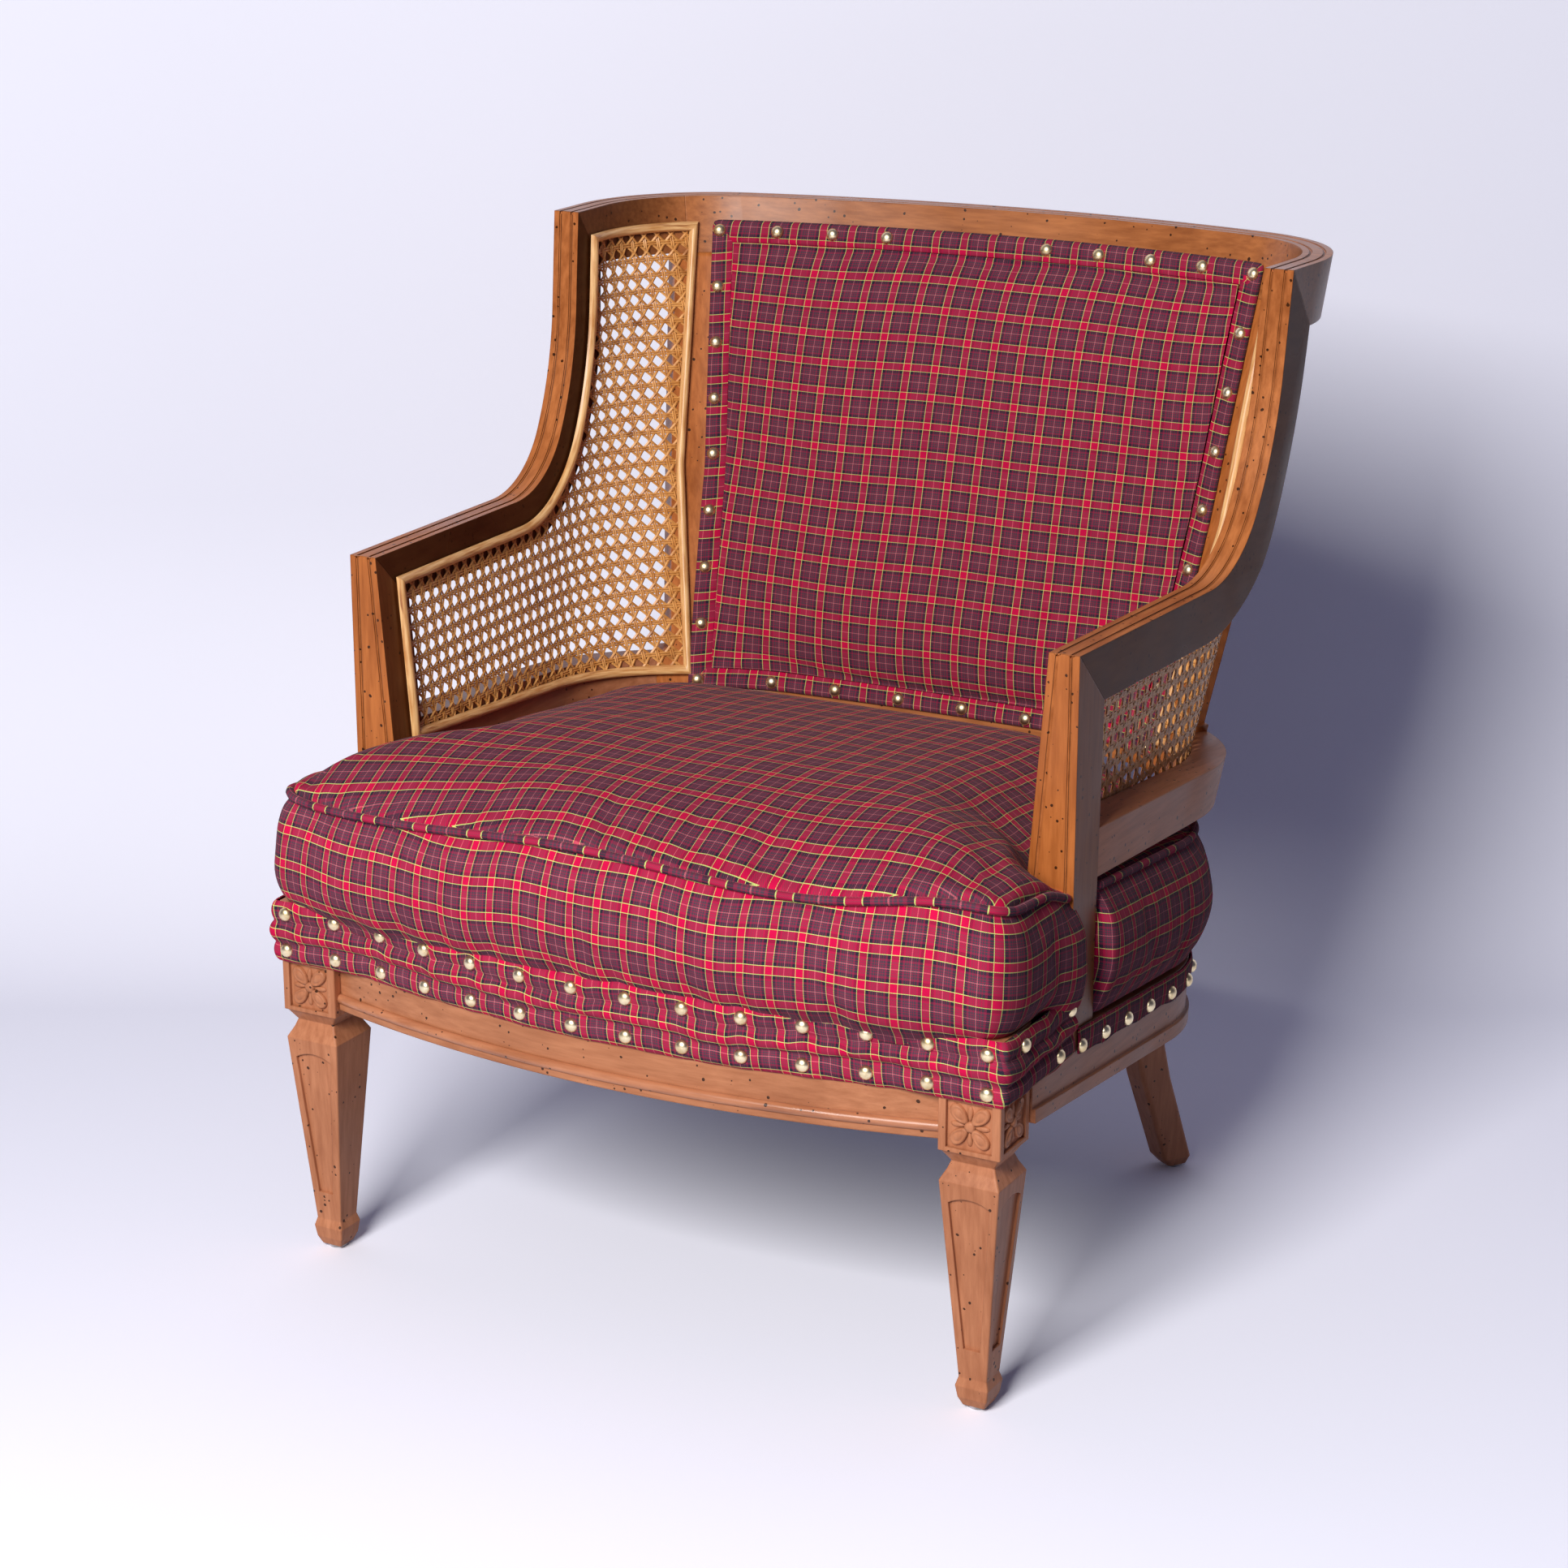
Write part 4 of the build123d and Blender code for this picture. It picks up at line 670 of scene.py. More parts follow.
# %% Wall
class Wall:
    """Leaning wall through three horseshoes."""

    def __init__(self, *levels):
        self.heights = np.array([height for height, shape in levels])
        self.shapes = [shape for height, shape in levels]
        self.rows = np.linspace(self.heights[0], self.heights[-1], 60)
        self.parts = np.linspace(0, 3, 601)
        plan = self.at(self.parts[None, :], self.rows[:, None], 0.0)
        self.row_y = plan[..., 1]
        self.row_distance = np.array([run_along(row) for row in plan])

    def between(self, z, low, middle, high):
        """Value at a height from its values at the three levels."""
        bottom, arm, top = self.heights
        lower = low + (middle - low) * (z - bottom) / (arm - bottom)
        return np.where(z <= arm, lower, middle + (high - middle) * (z - arm) / (top - arm))

    def at(self, part, z, inset):
        """Plan points of the wall at a part and a height, moved inwards by an inset."""
        part, z, inset = np.broadcast_arrays(np.asarray(part, float), z, inset)
        return self.between(z[..., None], *[shape.at(part, inset) for shape in self.shapes])

    def y_at(self, x, z, inset):
        return self.between(z, *[shape.y_at(x, inset) for shape in self.shapes])

    def look_up(self, key, table, values, z):
        """Value at a key in the row of the table that lies at a height."""
        key, z = np.broadcast_arrays(np.asarray(key, float), np.asarray(z, float))
        place = np.clip((z - self.rows[0]) / (self.rows[1] - self.rows[0]), 0, len(self.rows) - 1.001)
        row = place.astype(int)
        found = np.zeros(key.shape)
        for index in np.unique(row):
            here = row == index
            pair = [np.interp(key[here], table[line], values[line]) for line in (index, index + 1)]
            found[here] = pair[0] + (pair[1] - pair[0]) * (place[here] - index)
        return found

    def distance(self, y, z):
        """Distance along the wall from its front end to a place y."""
        return self.look_up(y, self.row_y, self.row_distance, z)

    def roll(self, distance, z, inset):
        """Points of flat work rolled onto the right side of the wall."""
        part = self.look_up(distance, self.row_distance, [self.parts] * len(self.rows), z)
        plan = self.at(part, z, inset)
        return placed(plan[..., 0], plan[..., 1], z)


def level(height, toe, corner_radius, back_y, back_radius, thick=0, front_x=frame_half):
    """One horseshoe of the outside of the wall, or of its inside at a thickness."""
    curves = [size - thick for size in (corner_radius, back_y, back_radius)]
    return height, Horseshoe(front_x - thick, wall_front, toe, *curves)


wall_thick, foot_thick, foot_front_x = 25, 27, 311.7
foot_curves = (rail_corner, 555, 2500)
arm_level = (arm_top, 0.0465, 163, 621, 1500)
crest_level = (crest_top, 0.0593, 130, 689, 1000)
outer_wall = Wall(level(wall_foot, -0.0156, *foot_curves), level(*arm_level), level(*crest_level))
inner_wall = Wall(level(wall_foot, 0.028, *foot_curves, thick=foot_thick, front_x=foot_front_x),
                  level(*arm_level, thick=wall_thick), level(*crest_level, thick=wall_thick))
print("wall", round(inner_wall.row_distance[0, -1]), "mm from post to middle at its foot")

# %% [markdown]
# ## Outline of the caned side
# The opening runs under the arm, up the wing, under the crest, down the stile, along the mid rail and up
# the post. It is drawn flat, as distance along the wall and height, so cane and bead are cut from flat work.

# %% Caned outline
bend_y, bend_radius, wing_radius = 345, 96, 272
wing_turn, wing_lean = math.radians(-30), math.radians(-6.5)
mid_rail_z, mid_rail_fall = 430, math.radians(3.8)
arm_overlap, post_overlap, crest_overlap, mid_rail_overlap = 21, 25, 22, 16
stile_foot_angle, stile_head_angle = 54.3, 54.7


def side_view(y, z):
    return np.column_stack(np.broadcast_arrays(y, z))


def sweep_line(depth, start_y, end_z):
    """Side view of the arm's and wing's edge at a depth below it, from the post to a height."""
    centre = np.array((bend_y, arm_top + bend_radius))
    wing_centre = centre + ray(wing_turn) * (bend_radius - wing_radius)
    arm = side_view(steps(start_y, bend_y, 25), arm_top - depth)
    bend = centre + (bend_radius + depth) * ray(steps(-math.pi / 2, wing_turn, 21))
    wing = wing_centre + (wing_radius + depth) * ray(np.linspace(wing_turn, wing_lean, 18))
    last_y, last_z = wing[-1]
    top_z = np.linspace(last_z, end_z, 14)[1:]
    top = side_view(last_y - (top_z - last_z) * math.tan(wing_lean), top_z)
    return np.concatenate([arm, bend, wing, top])


def cane_foot(y):
    """Height of the cane's edge on the sloping mid rail."""
    overlap = mid_rail_overlap / math.cos(mid_rail_fall)
    return mid_rail_z - overlap - (y - post_back) * math.tan(mid_rail_fall)


def in_corner(number, angle, inset):
    """Plan point inside the wall's corner at one of its three levels."""
    shape = outer_wall.shapes[number]
    return shape.corner_centre + (shape.corner_radius - inset) * ray(math.radians(angle))


def stile_y(z):
    """Place where the cane meets the stile."""
    foot = in_corner(0, stile_foot_angle, wall_thick)[1]
    head = in_corner(2, stile_head_angle, wall_thick)[1]
    return foot + (head - foot) * (z - wall_foot) / (crest_top - wall_foot)


cane_front, cane_top = wall_front + post_overlap, crest_top - crest_overlap
edge_sweep = sweep_line(arm_overlap, cane_front, cane_top)
edge_top = side_view(steps(edge_sweep[-1][0], stile_y(cane_top), 13)[1:], cane_top)
stile_z = np.linspace(cane_top, cane_foot(stile_y(400)), 46)
edge_stile = side_view(stile_y(stile_z), stile_z)
foot_y = np.linspace(stile_y(stile_z[-1]), cane_front, 44)[1:]
edge_foot = side_view(foot_y, cane_foot(foot_y))
edge_front = side_view(cane_front, steps(cane_foot(cane_front), arm_top - arm_overlap, 17)[1:])
side_line = np.concatenate([edge_sweep, edge_top, edge_stile, edge_foot, edge_front])
outline = np.column_stack([inner_wall.distance(*side_line.T), side_line[:, 1]])
print("caned outline", len(outline), "points,", np.round(np.ptp(outline, axis=0)), "mm")


def inside(points, polygon):
    """Which flat points lie inside a polygon."""
    x, y = points[:, 0, None], points[:, 1, None]
    x0, y0 = polygon.T
    x1, y1 = np.roll(polygon, -1, axis=0).T
    crosses = ((y0 > y) != (y1 > y)) & (x < (x1 - x0) * (y - y0) / np.where(y1 == y0, 1e-9, y1 - y0) + x0)
    return crosses.sum(axis=1) % 2 == 1


def drawn_in(polygon, inset):
    """A clockwise polygon with all its sides moved inwards, its corners kept sharp."""
    sides = unit(np.roll(polygon, -1, axis=0) - polygon)
    after = np.column_stack([sides[:, 1], -sides[:, 0]])
    before = np.roll(after, 1, axis=0)
    return polygon + inset * (before + after) / (1 + (before * after).sum(axis=1, keepdims=True))


# %% [markdown]
# ## Woven cane
# Six-way caning has pairs of uprights, pairs of levels and two single diagonals, on a grid of holes.
# A strand starts as a three-sided cylinder one short step long. One array makes it long, and another lays
# more beside it. Strands wave over and under each other, are cut to the outline and rolled onto the wall.

# %% Strands
cane_pitch, cane_margin = 13.9, 4
cane_edge = drawn_in(outline, cane_margin)
sheet_low, sheet_high = outline.min(axis=0), outline.max(axis=0)
sheet_middle = (sheet_low + sheet_high) / 2
sheet_reach = np.linalg.norm(sheet_high - sheet_low) / 2


def strands(name, turn, pitch, offset, width, thick, step):
    """One family of parallel strands over the whole sheet, and its points in flat millimetres."""
    piece = made_by(bpy.ops.mesh.primitive_cylinder_add, vertices=3, radius=1, depth=step,
                    end_fill_type="NOTHING", rotation=(0, math.pi / 2, 0))
    piece.name = name
    bpy.ops.object.transform_apply(rotation=True)
    shape = points_of(piece)
    sideways = shape[:, 2] / np.ptp(shape[:, 2])
    ridge = np.abs(sideways) < 0.1
    move_points(piece, np.column_stack([shape[:, 0], sideways * width, ridge * thick]))
    links, lines = int(2 * sheet_reach / step) + 1, 2 * int(sheet_reach / pitch) + 1
    offsets = {"use_relative_offset": False, "use_constant_offset": True}
    finish_with(piece, "ARRAY", count=links, constant_offset_displace=(step, 0, 0),
                use_merge_vertices=True, merge_threshold=0.01, **offsets)
    finish_with(piece, "ARRAY", count=lines, constant_offset_displace=(0, pitch, 0), **offsets)
    points = points_of(piece)
    direction = np.array((math.cos(turn), math.sin(turn)))
    normal = np.array((-direction[1], direction[0]))
    first = math.ceil((normal @ sheet_middle - offset) / pitch - lines / 2) * pitch + offset
    along = points[:, 0] - sheet_reach + direction @ sheet_middle
    across = points[:, 1] + first
    spot = along[:, None] * direction + across[:, None] * normal
    return piece, np.column_stack([spot, points[:, 2]])


def weave_height(spot, kind):
    """Height of a strand's underside: uprights over levels, diagonals over uprights and under levels."""
    column, row = np.cos(2 * math.pi * (spot[:, :2] / cane_pitch - 0.5)).T
    if kind == "upright":
        return 0.7 + 0.5 * row
    if kind == "level":
        return 0.7 - 0.4 * column
    return 0.95 + 0.6 * column - 0.5 * row


def cane_panel():
    half, diagonal = cane_pitch / 2, cane_pitch / math.sqrt(2)
    pair_gap, pair_size, single_size = 1.0, (1.9, 0.8, cane_pitch / 4), (2.5, 0.9, diagonal / 2)
    families = []
    for shift in (-pair_gap, pair_gap):
        families.append(("upright", math.pi / 2, cane_pitch, half + shift, *pair_size))
        families.append(("level", 0.0, cane_pitch, half + shift, *pair_size))
    families.append(("rising", math.pi / 4, diagonal, diagonal / 2, *single_size))
    families.append(("falling", -math.pi / 4, diagonal, diagonal / 2, *single_size))
    made = []
    for kind, *layout in families:
        piece, spot = strands("cane_" + kind, *layout)
        z = np.clip(spot[:, 1], wall_foot + 1, crest_top - 1)
        depth = 0.2 + spot[:, 2] + weave_height(spot, kind)
        move_points(piece, inner_wall.roll(np.clip(spot[:, 0], 0, None), z, depth))
        drop_points(piece, ~inside(spot[:, :2], cane_edge))
        made.append(piece)
    panel = join(made, "woven_cane_right")
    edit(panel, face_out)
    return panel


cane_right = cane_panel()
for panel, side in ((cane_right, "right"), (mirrored(cane_right, "woven_cane_left"), "left")):
    dress(panel, cane)
    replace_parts(panel, "cane_panel_" + side)

# %% [markdown]
# ## Reed bead
# A half-round reed covers the cut ends of the cane, mitred at the corners.
# Its rows follow the outline, each drawn in a little further, and rise off the wall as the half round does.

# %% Bead
bead_half, bead_inset, bead_foot, bead_rise = 4.1, 4.2, 2.0, 5.2
bead_rows = [(bead_inset - bead_half * math.cos(turn), bead_foot + bead_rise * math.sin(turn))
             for turn in np.linspace(0, math.pi, 9)]
bead_rows = bead_rows + [(bead_inset, bead_foot), bead_rows[0]]
bead_length = run_along(closed(outline))
bead_points, bead_weave = [], []
for row, (inset, depth) in enumerate(bead_rows):
    line = closed(drawn_in(outline, inset))
    wobble = 0.35 * np.sin(bead_length / 23) * (depth > bead_foot + 0.1)
    bead_points.append(inner_wall.roll(line[:, 0], line[:, 1], depth + wobble))
    bead_weave.append(np.column_stack([bead_length / 1000, np.full(len(line), row * 0.0015)]))
bead_right = lay_grid("reed_bead_right", bead_points, bead_weave)
edit(bead_right, weld, face_out)
for bead, side in ((bead_right, "right"), (mirrored(bead_right, "reed_bead_left"), "left")):
    dress(bead, reed)
    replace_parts(bead, *[f"cane_bead_{edge}_{side}" for edge in ("front", "arm", "top", "bottom", "back")])

# %% [markdown]
# ## Slim stiles
# Behind the cane the stile is narrower than its solid, so that light shows through almost up to the bead.
# A merged copy is cut in two at the mid rail, and the upper part is planed back along a line up the wall.
# The pegs in the stiles' heads move back with them.

# %% Stiles
stile_cut_z, stile_depth = 0.412, 12.5
plane_foot_angle, plane_head_angle, plane_angle = 48.6, 43.0, 46
peg_angle, moved_peg_angle, peg_reach, peg_least_z = 41, 52, 0.025, 0.7


def copy_of(name, new_name):
    """A merged copy of a solid."""
    piece = bpy.data.objects.new(new_name, nodes[name].data.copy())
    scene.collection.objects.link(piece)
    edit(piece, weld)
    return piece


def corner_point(number, angle):
    """Point of the frame in the middle of the stile's depth at one of the wall's levels."""
    return placed(*in_corner(number, angle, stile_depth), outer_wall.heights[number])


def cut_off(piece, point, normal):
    """Cut a piece at a plane, drop what lies on the side the normal points to and close the cut."""
    edit(piece, lambda: bpy.ops.mesh.bisect(plane_co=point, plane_no=normal, clear_outer=True, use_fill=True))


def slim_stile():
    foot, head = corner_point(0, plane_foot_angle), corner_point(2, plane_head_angle)
    across = np.array((*ray(math.radians(plane_angle)), 0))
    forward = np.cross(across, head - foot)
    upper, lower = [copy_of("back_stile_right", part) for part in ("stile_head", "stile_foot")]
    cut_off(upper, (0, 0, stile_cut_z), (0, 0, -1))
    cut_off(upper, foot, forward)
    cut_off(lower, (0, 0, stile_cut_z), (0, 0, 1))
    return join([upper, lower], "slim_stile_right")


stile_right = slim_stile()
stile_left = mirrored(stile_right, "slim_stile_left")
pegs = copy_of("frame_dowels", "frame_pegs")
peg_points = points_of(pegs)
peg_from, peg_to = corner_point(2, peg_angle), corner_point(2, moved_peg_angle)
for side in (1, -1):
    apart = np.linalg.norm(peg_points[:, :2] * (side, 1) - peg_from[:2], axis=1)
    moved = (apart < peg_reach) & (peg_points[:, 2] > peg_least_z)
    peg_points[moved] += (peg_to - peg_from) * (side, 1, 0)
    print(moved.sum(), "peg points moved")
move_points(pegs, peg_points)
for piece, finish, slot, name in ((stile_right, frame_wood, "frame_wood", "back_stile_right"),
                                  (stile_left, frame_wood, "frame_wood", "back_stile_left"),
                                  (pegs, raw_wood, "raw_wood", "frame_dowels")):
    dress(piece, finish)
    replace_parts(piece, name)

# %% [markdown]
# ## Carved rosettes
# Each front leg's block has a sunk square on its front and its outer side, with a four-petalled flower in it.
# The solid has plain petals. The carving over them has rolled rims, domed hearts, a boss and small leaves.
# A leaf is a grid of rings round its middle, raised by a profile from the middle to the edge.

# %% Rosettes
def leaf(name, middle, length, width, profile, turn):
    """A carved leaf: an oval, raised in rings of (share of its half length and half width, height)."""
    around = np.linspace(0, 2 * math.pi, 21)
    rows = []
    for share, height in profile:
        u = middle + length * share * np.cos(around)
        v = width * share * np.sin(around) * (1 + 0.22 * np.cos(around))
        x = u * math.cos(turn) - v * math.sin(turn)
        y = u * math.sin(turn) + v * math.cos(turn)
        rows.append(np.column_stack([x, y, np.full(len(around), height)]))
    rows = np.array(rows) / 1000
    piece = lay_grid(name, rows, rows[..., :2])
    edit(piece, weld, close_ends, face_out)
    return piece


petal_profile = [(0, 3.5), (0.25, 3.35), (0.45, 2.9), (0.56, 2.35), (0.64, 2.4), (0.78, 3.0), (0.9, 2.7),
                 (1.0, 1.4), (1.02, -0.3)]
sepal_profile = [(0, 1.9), (0.5, 1.7), (0.85, 1.0), (1.0, -0.3)]
boss_profile = [(0, 3.7), (0.4, 3.5), (0.75, 3.0), (0.95, 2.2), (1.0, -0.3)]
carving_z, carving_depth, quarter_turn = 239.5, 3.0, math.pi / 2
leaves = [leaf("boss", 0, 4.4, 4.4, boss_profile, 0)]
for quarter in range(4):
    leaves.append(leaf("petal", 12.2, 9.0, 5.4, petal_profile, (quarter + 0.5) * quarter_turn))
    leaves.append(leaf("sepal", 10.0, 6.5, 2.3, sepal_profile, quarter * quarter_turn))
flower = join(leaves, "flower")
flower_points = points_of(flower)
flowers = []
for side in (-1, 1):
    for outward in ((0, -1), (side, 0)):
        flowers.append(twin_of(flower))
        right = np.array((-outward[1], outward[0], 0.0))
        out = np.array((*outward, 0.0))
        heart = placed(side * leg_middle_x, leg_half, carving_z) + out * (leg_half - carving_depth) / 1000
        move_points(flowers[-1], flower_points @ np.stack([right, (0, 0, 1.0), out]) + heart)
bpy.data.objects.remove(flower, do_unlink=True)
rosettes = join(flowers, "leg_rosettes")
edit(rosettes, face_out)
dress(rosettes, leg_wood)

# %% [markdown]
# ## Wax in the grooves
# Years of polish have half filled the fine grooves of the arms, posts and crest, so that they show softly.
# The hollow edges at the foot of each groove are picked out and thickened into thin rods of wax.

# %% Groove wax
wax_radius, hollow_angle = 0.0017, math.radians(60)
grooved = [f"{name}_{side}" for name in ("arm", "arm_post", "crest_corner") for side in ("left", "right")]
rods = []
for name in [*grooved, "crest_rail"]:
    rod = copy_of(name, "groove_wax")
    shape = bmesh.new()
    shape.from_mesh(rod.data)
    hollow = {edge for edge in shape.edges if edge.is_manifold and not edge.is_convex
              and edge.calc_face_angle() > hollow_angle}
    bmesh.ops.delete(shape, geom=[edge for edge in shape.edges if edge not in hollow], context="EDGES")
    bmesh.ops.delete(shape, geom=list(shape.faces), context="FACES_ONLY")
    bmesh.ops.delete(shape, geom=[point for point in shape.verts if not point.link_edges], context="VERTS")
    shape.to_mesh(rod.data)
    shape.free()
    only(rod)
    bpy.ops.object.convert(target="CURVE")
    rod = bpy.context.object
    rod.data.bevel_depth = wax_radius
    rod.data.bevel_resolution = 1
    bpy.ops.object.convert(target="MESH")
    rods.append(bpy.context.object)
wax = join(rods, "groove_wax")
edit(wax, close_ends, face_out)
dress(wax, arm_wood)

# %% [markdown]
# ## The stuffed seat
# The seat is drawn in rings, from the underside up its bulging sides to the corded edge and over the crown.
# Two rings share the corded edge, one for the sides' cloth and one for the top's, so each has its own check.
# The seat falls to the back by 5.5 degrees, so it is drawn level and then tilted.

# %% Seat rings
seat_half, seat_front, seat_bow, seat_corner = 326, -40, 1550, 26
post_gap, post_inner = 0.8, 283.6
notch_front, notch_back = wall_front - post_gap, post_back + post_gap


def tilted(plan, height):
    """Level plan points at a height over the seat's foot, tilted and set in the frame."""
    back = plan[:, 1] - seat_front_y
    y = seat_front_y + back * math.cos(seat_fall) + height * math.sin(seat_fall)
    return placed(plan[:, 0], y, seat_front_z - back * math.sin(seat_fall) + height * math.cos(seat_fall))


def rail_plan(half, front_y, grow):
    """Plan of the seat's side and rear rails, grown by a distance."""
    return Horseshoe(half, front_y, 0, rail_corner + grow, rail_back + grow, rail_back_bow + grow)


def bowed(x, front, bow):
    """Plan points of a bowed front edge at places x."""
    return np.column_stack([x, front + bow - np.sqrt(bow**2 - x**2)])


def seat_ring(grow):
    """Level outline of the seat, from the middle of its back round its right, cut in at the posts."""
    half, front, bow = seat_half + grow, seat_front - grow, seat_bow + grow
    corner = max(seat_corner + grow, 4)
    corner_y = front + bow - math.sqrt((bow - corner) ** 2 - (half - corner) ** 2)
    turn = math.atan2(corner_y - front - bow, half - corner)
    side = rail_plan(half, corner_y, grow)
    rear = side.at(np.concatenate([steps(3, 2, 20), steps(2, 1, 30)]), 0.0)
    side_end = side.at(1.0, 0.0)[1]
    notch_from, notch_to, notch_x = notch_back, notch_front, post_inner
    if half < post_inner:
        notch_from, notch_to = [corner_y + share * (side_end - corner_y) for share in (0.5, 0.36)]
        notch_x = half
    corners = [(half, side_end), (half, notch_from), (notch_x, notch_from), (notch_x, notch_to),
               (half, notch_to), (half, corner_y)]
    flank = [steps(*ends) for ends in zip(corners, corners[1:], (19, 5, 5, 5, 14))]
    bend = np.array((half - corner, corner_y)) + corner * ray(steps(0, turn, 10))
    nose = bowed(np.linspace(half - corner + corner * math.cos(turn), 0, 37), front, bow)
    return and_back(np.concatenate([rear, *flank, bend, nose]))


rim = seat_ring(0)
rim_length = run_along(rim)
rim_x, rim_y = rim.T
frontness = np.clip((wall_front - rim_y) / 60, 0, 1)
frontness = frontness * frontness * (3 - 2 * frontness)
print("seat's rim", round(rim_length[-1]), "mm round")

# %% [markdown]
# The corded edge of the real seat wanders: it lifts at the left corner, in the middle and most at the right.
# Each rise has a height, a place along the front and a reach, and all of them fade out along the sides.

# %% Seat cushion
cord_rises = [(7.5, -338, 32), (13.0, -27, 140), (15.0, 285, 80)]
cord_lift = frontness * sum(rise * np.exp(-(((rim_x - place) / reach) ** 2))
                            for rise, place, reach in cord_rises)

cord_height, crown_inset, crown_height, crown_rise = 106, 150, 165.5, 4.5
box_heights = np.array([0.5, 6, 12, 17, 20, 23, 27, 36, 46, 57, 68, 79, 88, 95, 100, 104, cord_height])
box_bulge = np.interp(box_heights, [0, 12, 42, 83, 97, cord_height], [-1, 5, 15, 11, 2, -4.5])
box_front_bulge = np.interp(box_heights, [0, 16, 22, 29, 44, 83, 95, 101, cord_height],
                            [-16, -14, -4, 3, 8, 6, 2, -2.5, -5])
lip_insets = [5, 5, 9]
top_insets = np.array([15, 23, 34, 47, 62, 79, 98, 120, crown_inset])
top_heights = np.interp(top_insets, [8, 30, 78, 116, crown_inset], [109, 114, 141, 159, crown_height])
front_heights = np.interp(top_insets, [10, 20, 50, 90, crown_inset], [116, 122, 140, 155, crown_height])
top_rows = [*zip(lip_insets, (cord_height, 109, 110.5), (cord_height, 110, 115)),
            *zip(top_insets, top_heights, front_heights)]
crown_scales = (0.84, 0.68, 0.5, 0.3, 0.14, 0.05)
seat_centre = np.array((0.0, 235.0))
seat_points, seat_weave = [], []


def seat_row(plan, height, spot):
    seat_points.append(tilted(plan, height))
    seat_weave.append(np.column_stack(spot) / 1000)


def top_row(plan, height):
    """A ring of the top, its check pulled a little askew."""
    sway_x = waves(plan[:, 1], plan[:, 0], (2.4, 330, 700, 0.9), (1.1, 140, 390, 2.0))
    sway_y = waves(plan[:, 0], plan[:, 1], (2.6, 300, 800, 0.2), (1.2, 150, 420, 1.0))
    seat_row(plan, height, (plan[:, 1] + sway_y - 0.25 * (height - cord_height), plan[:, 0] + sway_x))


for scale in (0.05, 0.5):
    plan = seat_centre + (seat_ring(-14) - seat_centre) * scale
    seat_row(plan, 1.0, plan.T)
for height, bulge, front_bulge in zip(box_heights, box_bulge, box_front_bulge):
    plan = seat_ring(bulge) + (seat_ring(front_bulge) - seat_ring(bulge)) * frontness[:, None]
    lift = height + cord_lift * (height / cord_height) ** 1.5
    sway = waves(rim_length, height, (2.4, 260, 900, 0.4), (1.4, 117, -500, 1.9))
    seat_row(plan, lift, (lift + sway * frontness, rim_length))
cord_line = seat_points[-1]
for inset, height, front in top_rows:
    lift = height + (front - height) * frontness + cord_lift * math.exp(-((inset / 75) ** 2))
    top_row(seat_ring(-inset), lift)
for scale in crown_scales:
    plan = seat_centre + (seat_ring(-crown_inset) - seat_centre) * scale
    top_row(plan, crown_height + crown_rise * (1 - scale**2))
pipe_line = tilted(seat_ring(-2.2), cord_height + 0.5 + cord_lift)
seat = lay_grid("seat_cushion", seat_points, seat_weave)
edit(seat, weld, face_out)
print("seat", len(seat.data.vertices), "points before stuffing")

# %% [markdown]
# ## Stuffing with the cloth solver
# A cloth simulation blows the cover up a little, as stuffing does, and lets it wrinkle between its seams.
# Seams, edges and whatever lies against the frame are pinned. Gravity is off, as stuffing carries the cover.
# Each point may move only a few millimetres, so the pad keeps the form it was drawn in.

# %% Stuffing
cloth_settings = {"quality": 6, "mass": 0.25, "tension_stiffness": 12, "compression_stiffness": 12,
                  "shear_stiffness": 6, "bending_stiffness": 0.4, "air_damping": 3, "use_pressure": True,
                  "uniform_pressure_force": 3.0, "shrink_min": -0.02, "vertex_group_mass": "seams"}


def stuff(piece, pins, limit):
    """Blow a closed pad up with the cloth solver; pins holds 1 for each point that stays."""
    start = points_of(piece)
    group = piece.vertex_groups.new(name="seams")
    for weight in np.unique(np.round(pins, 2)):
        chosen = np.flatnonzero(np.round(pins, 2) == weight).tolist()
        if weight > 0:
            group.add(chosen, float(weight), "REPLACE")
    only(piece)
    solver = piece.modifiers.new("stuffing", "CLOTH")
    for key, value in cloth_settings.items():
        setattr(solver.settings, key, value)
    solver.settings.effector_weights.gravity = 0
    for moment in range(1, 21):
        scene.frame_set(moment)
    bpy.ops.object.modifier_apply(modifier=solver.name)
    scene.frame_set(1)
    moved = points_of(piece) - start
    far = np.linalg.norm(moved, axis=1, keepdims=True)
    moved = moved * (limit * np.tanh(far / limit) / np.maximum(far, 1e-9))
    move_points(piece, start + moved * (1 - pins)[:, None])
    piece.vertex_groups.clear()
    print(piece.name, "moved up to", round(1000 * np.abs(moved).max(), 1), "mm")


def near(piece, line, distance):
    """1 for each point of a piece that lies close to a line of points."""
    apart = np.array([np.linalg.norm(line - point, axis=1).min() for point in points_of(piece)])
    return np.clip(2 - apart / distance, 0, 1)


# Pinned, in metres of the frame: the foot, the notches at the posts, and what lies under the mid rails.
x, y, z = points_of(seat).T
seat_slope = round(math.tan(seat_fall), 4)
foot_height = (z - seat_front_z / 1000) + (y + (drawing_shift - seat_front_y) / 1000) * seat_slope
at_foot = np.clip((0.014 - foot_height) / 0.008, 0, 1)
at_post = (np.abs(x) > 0.27) & (y > -0.206) & (y < -0.153)
under_rail = (np.abs(x) > 0.262) & (y > -0.2) & (foot_height > 0.095)
still = np.maximum(near(seat, cord_line, 0.003), at_foot)
stuff(seat, np.maximum(still, at_post | under_rail), 0.006)
finish_with(seat, "SUBSURF", levels=1, render_levels=1)
edit(seat, close_ends, face_out)
dress(seat, seat_plaid_painted_light)
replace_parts(seat, "seat_cover", "seat_foam")

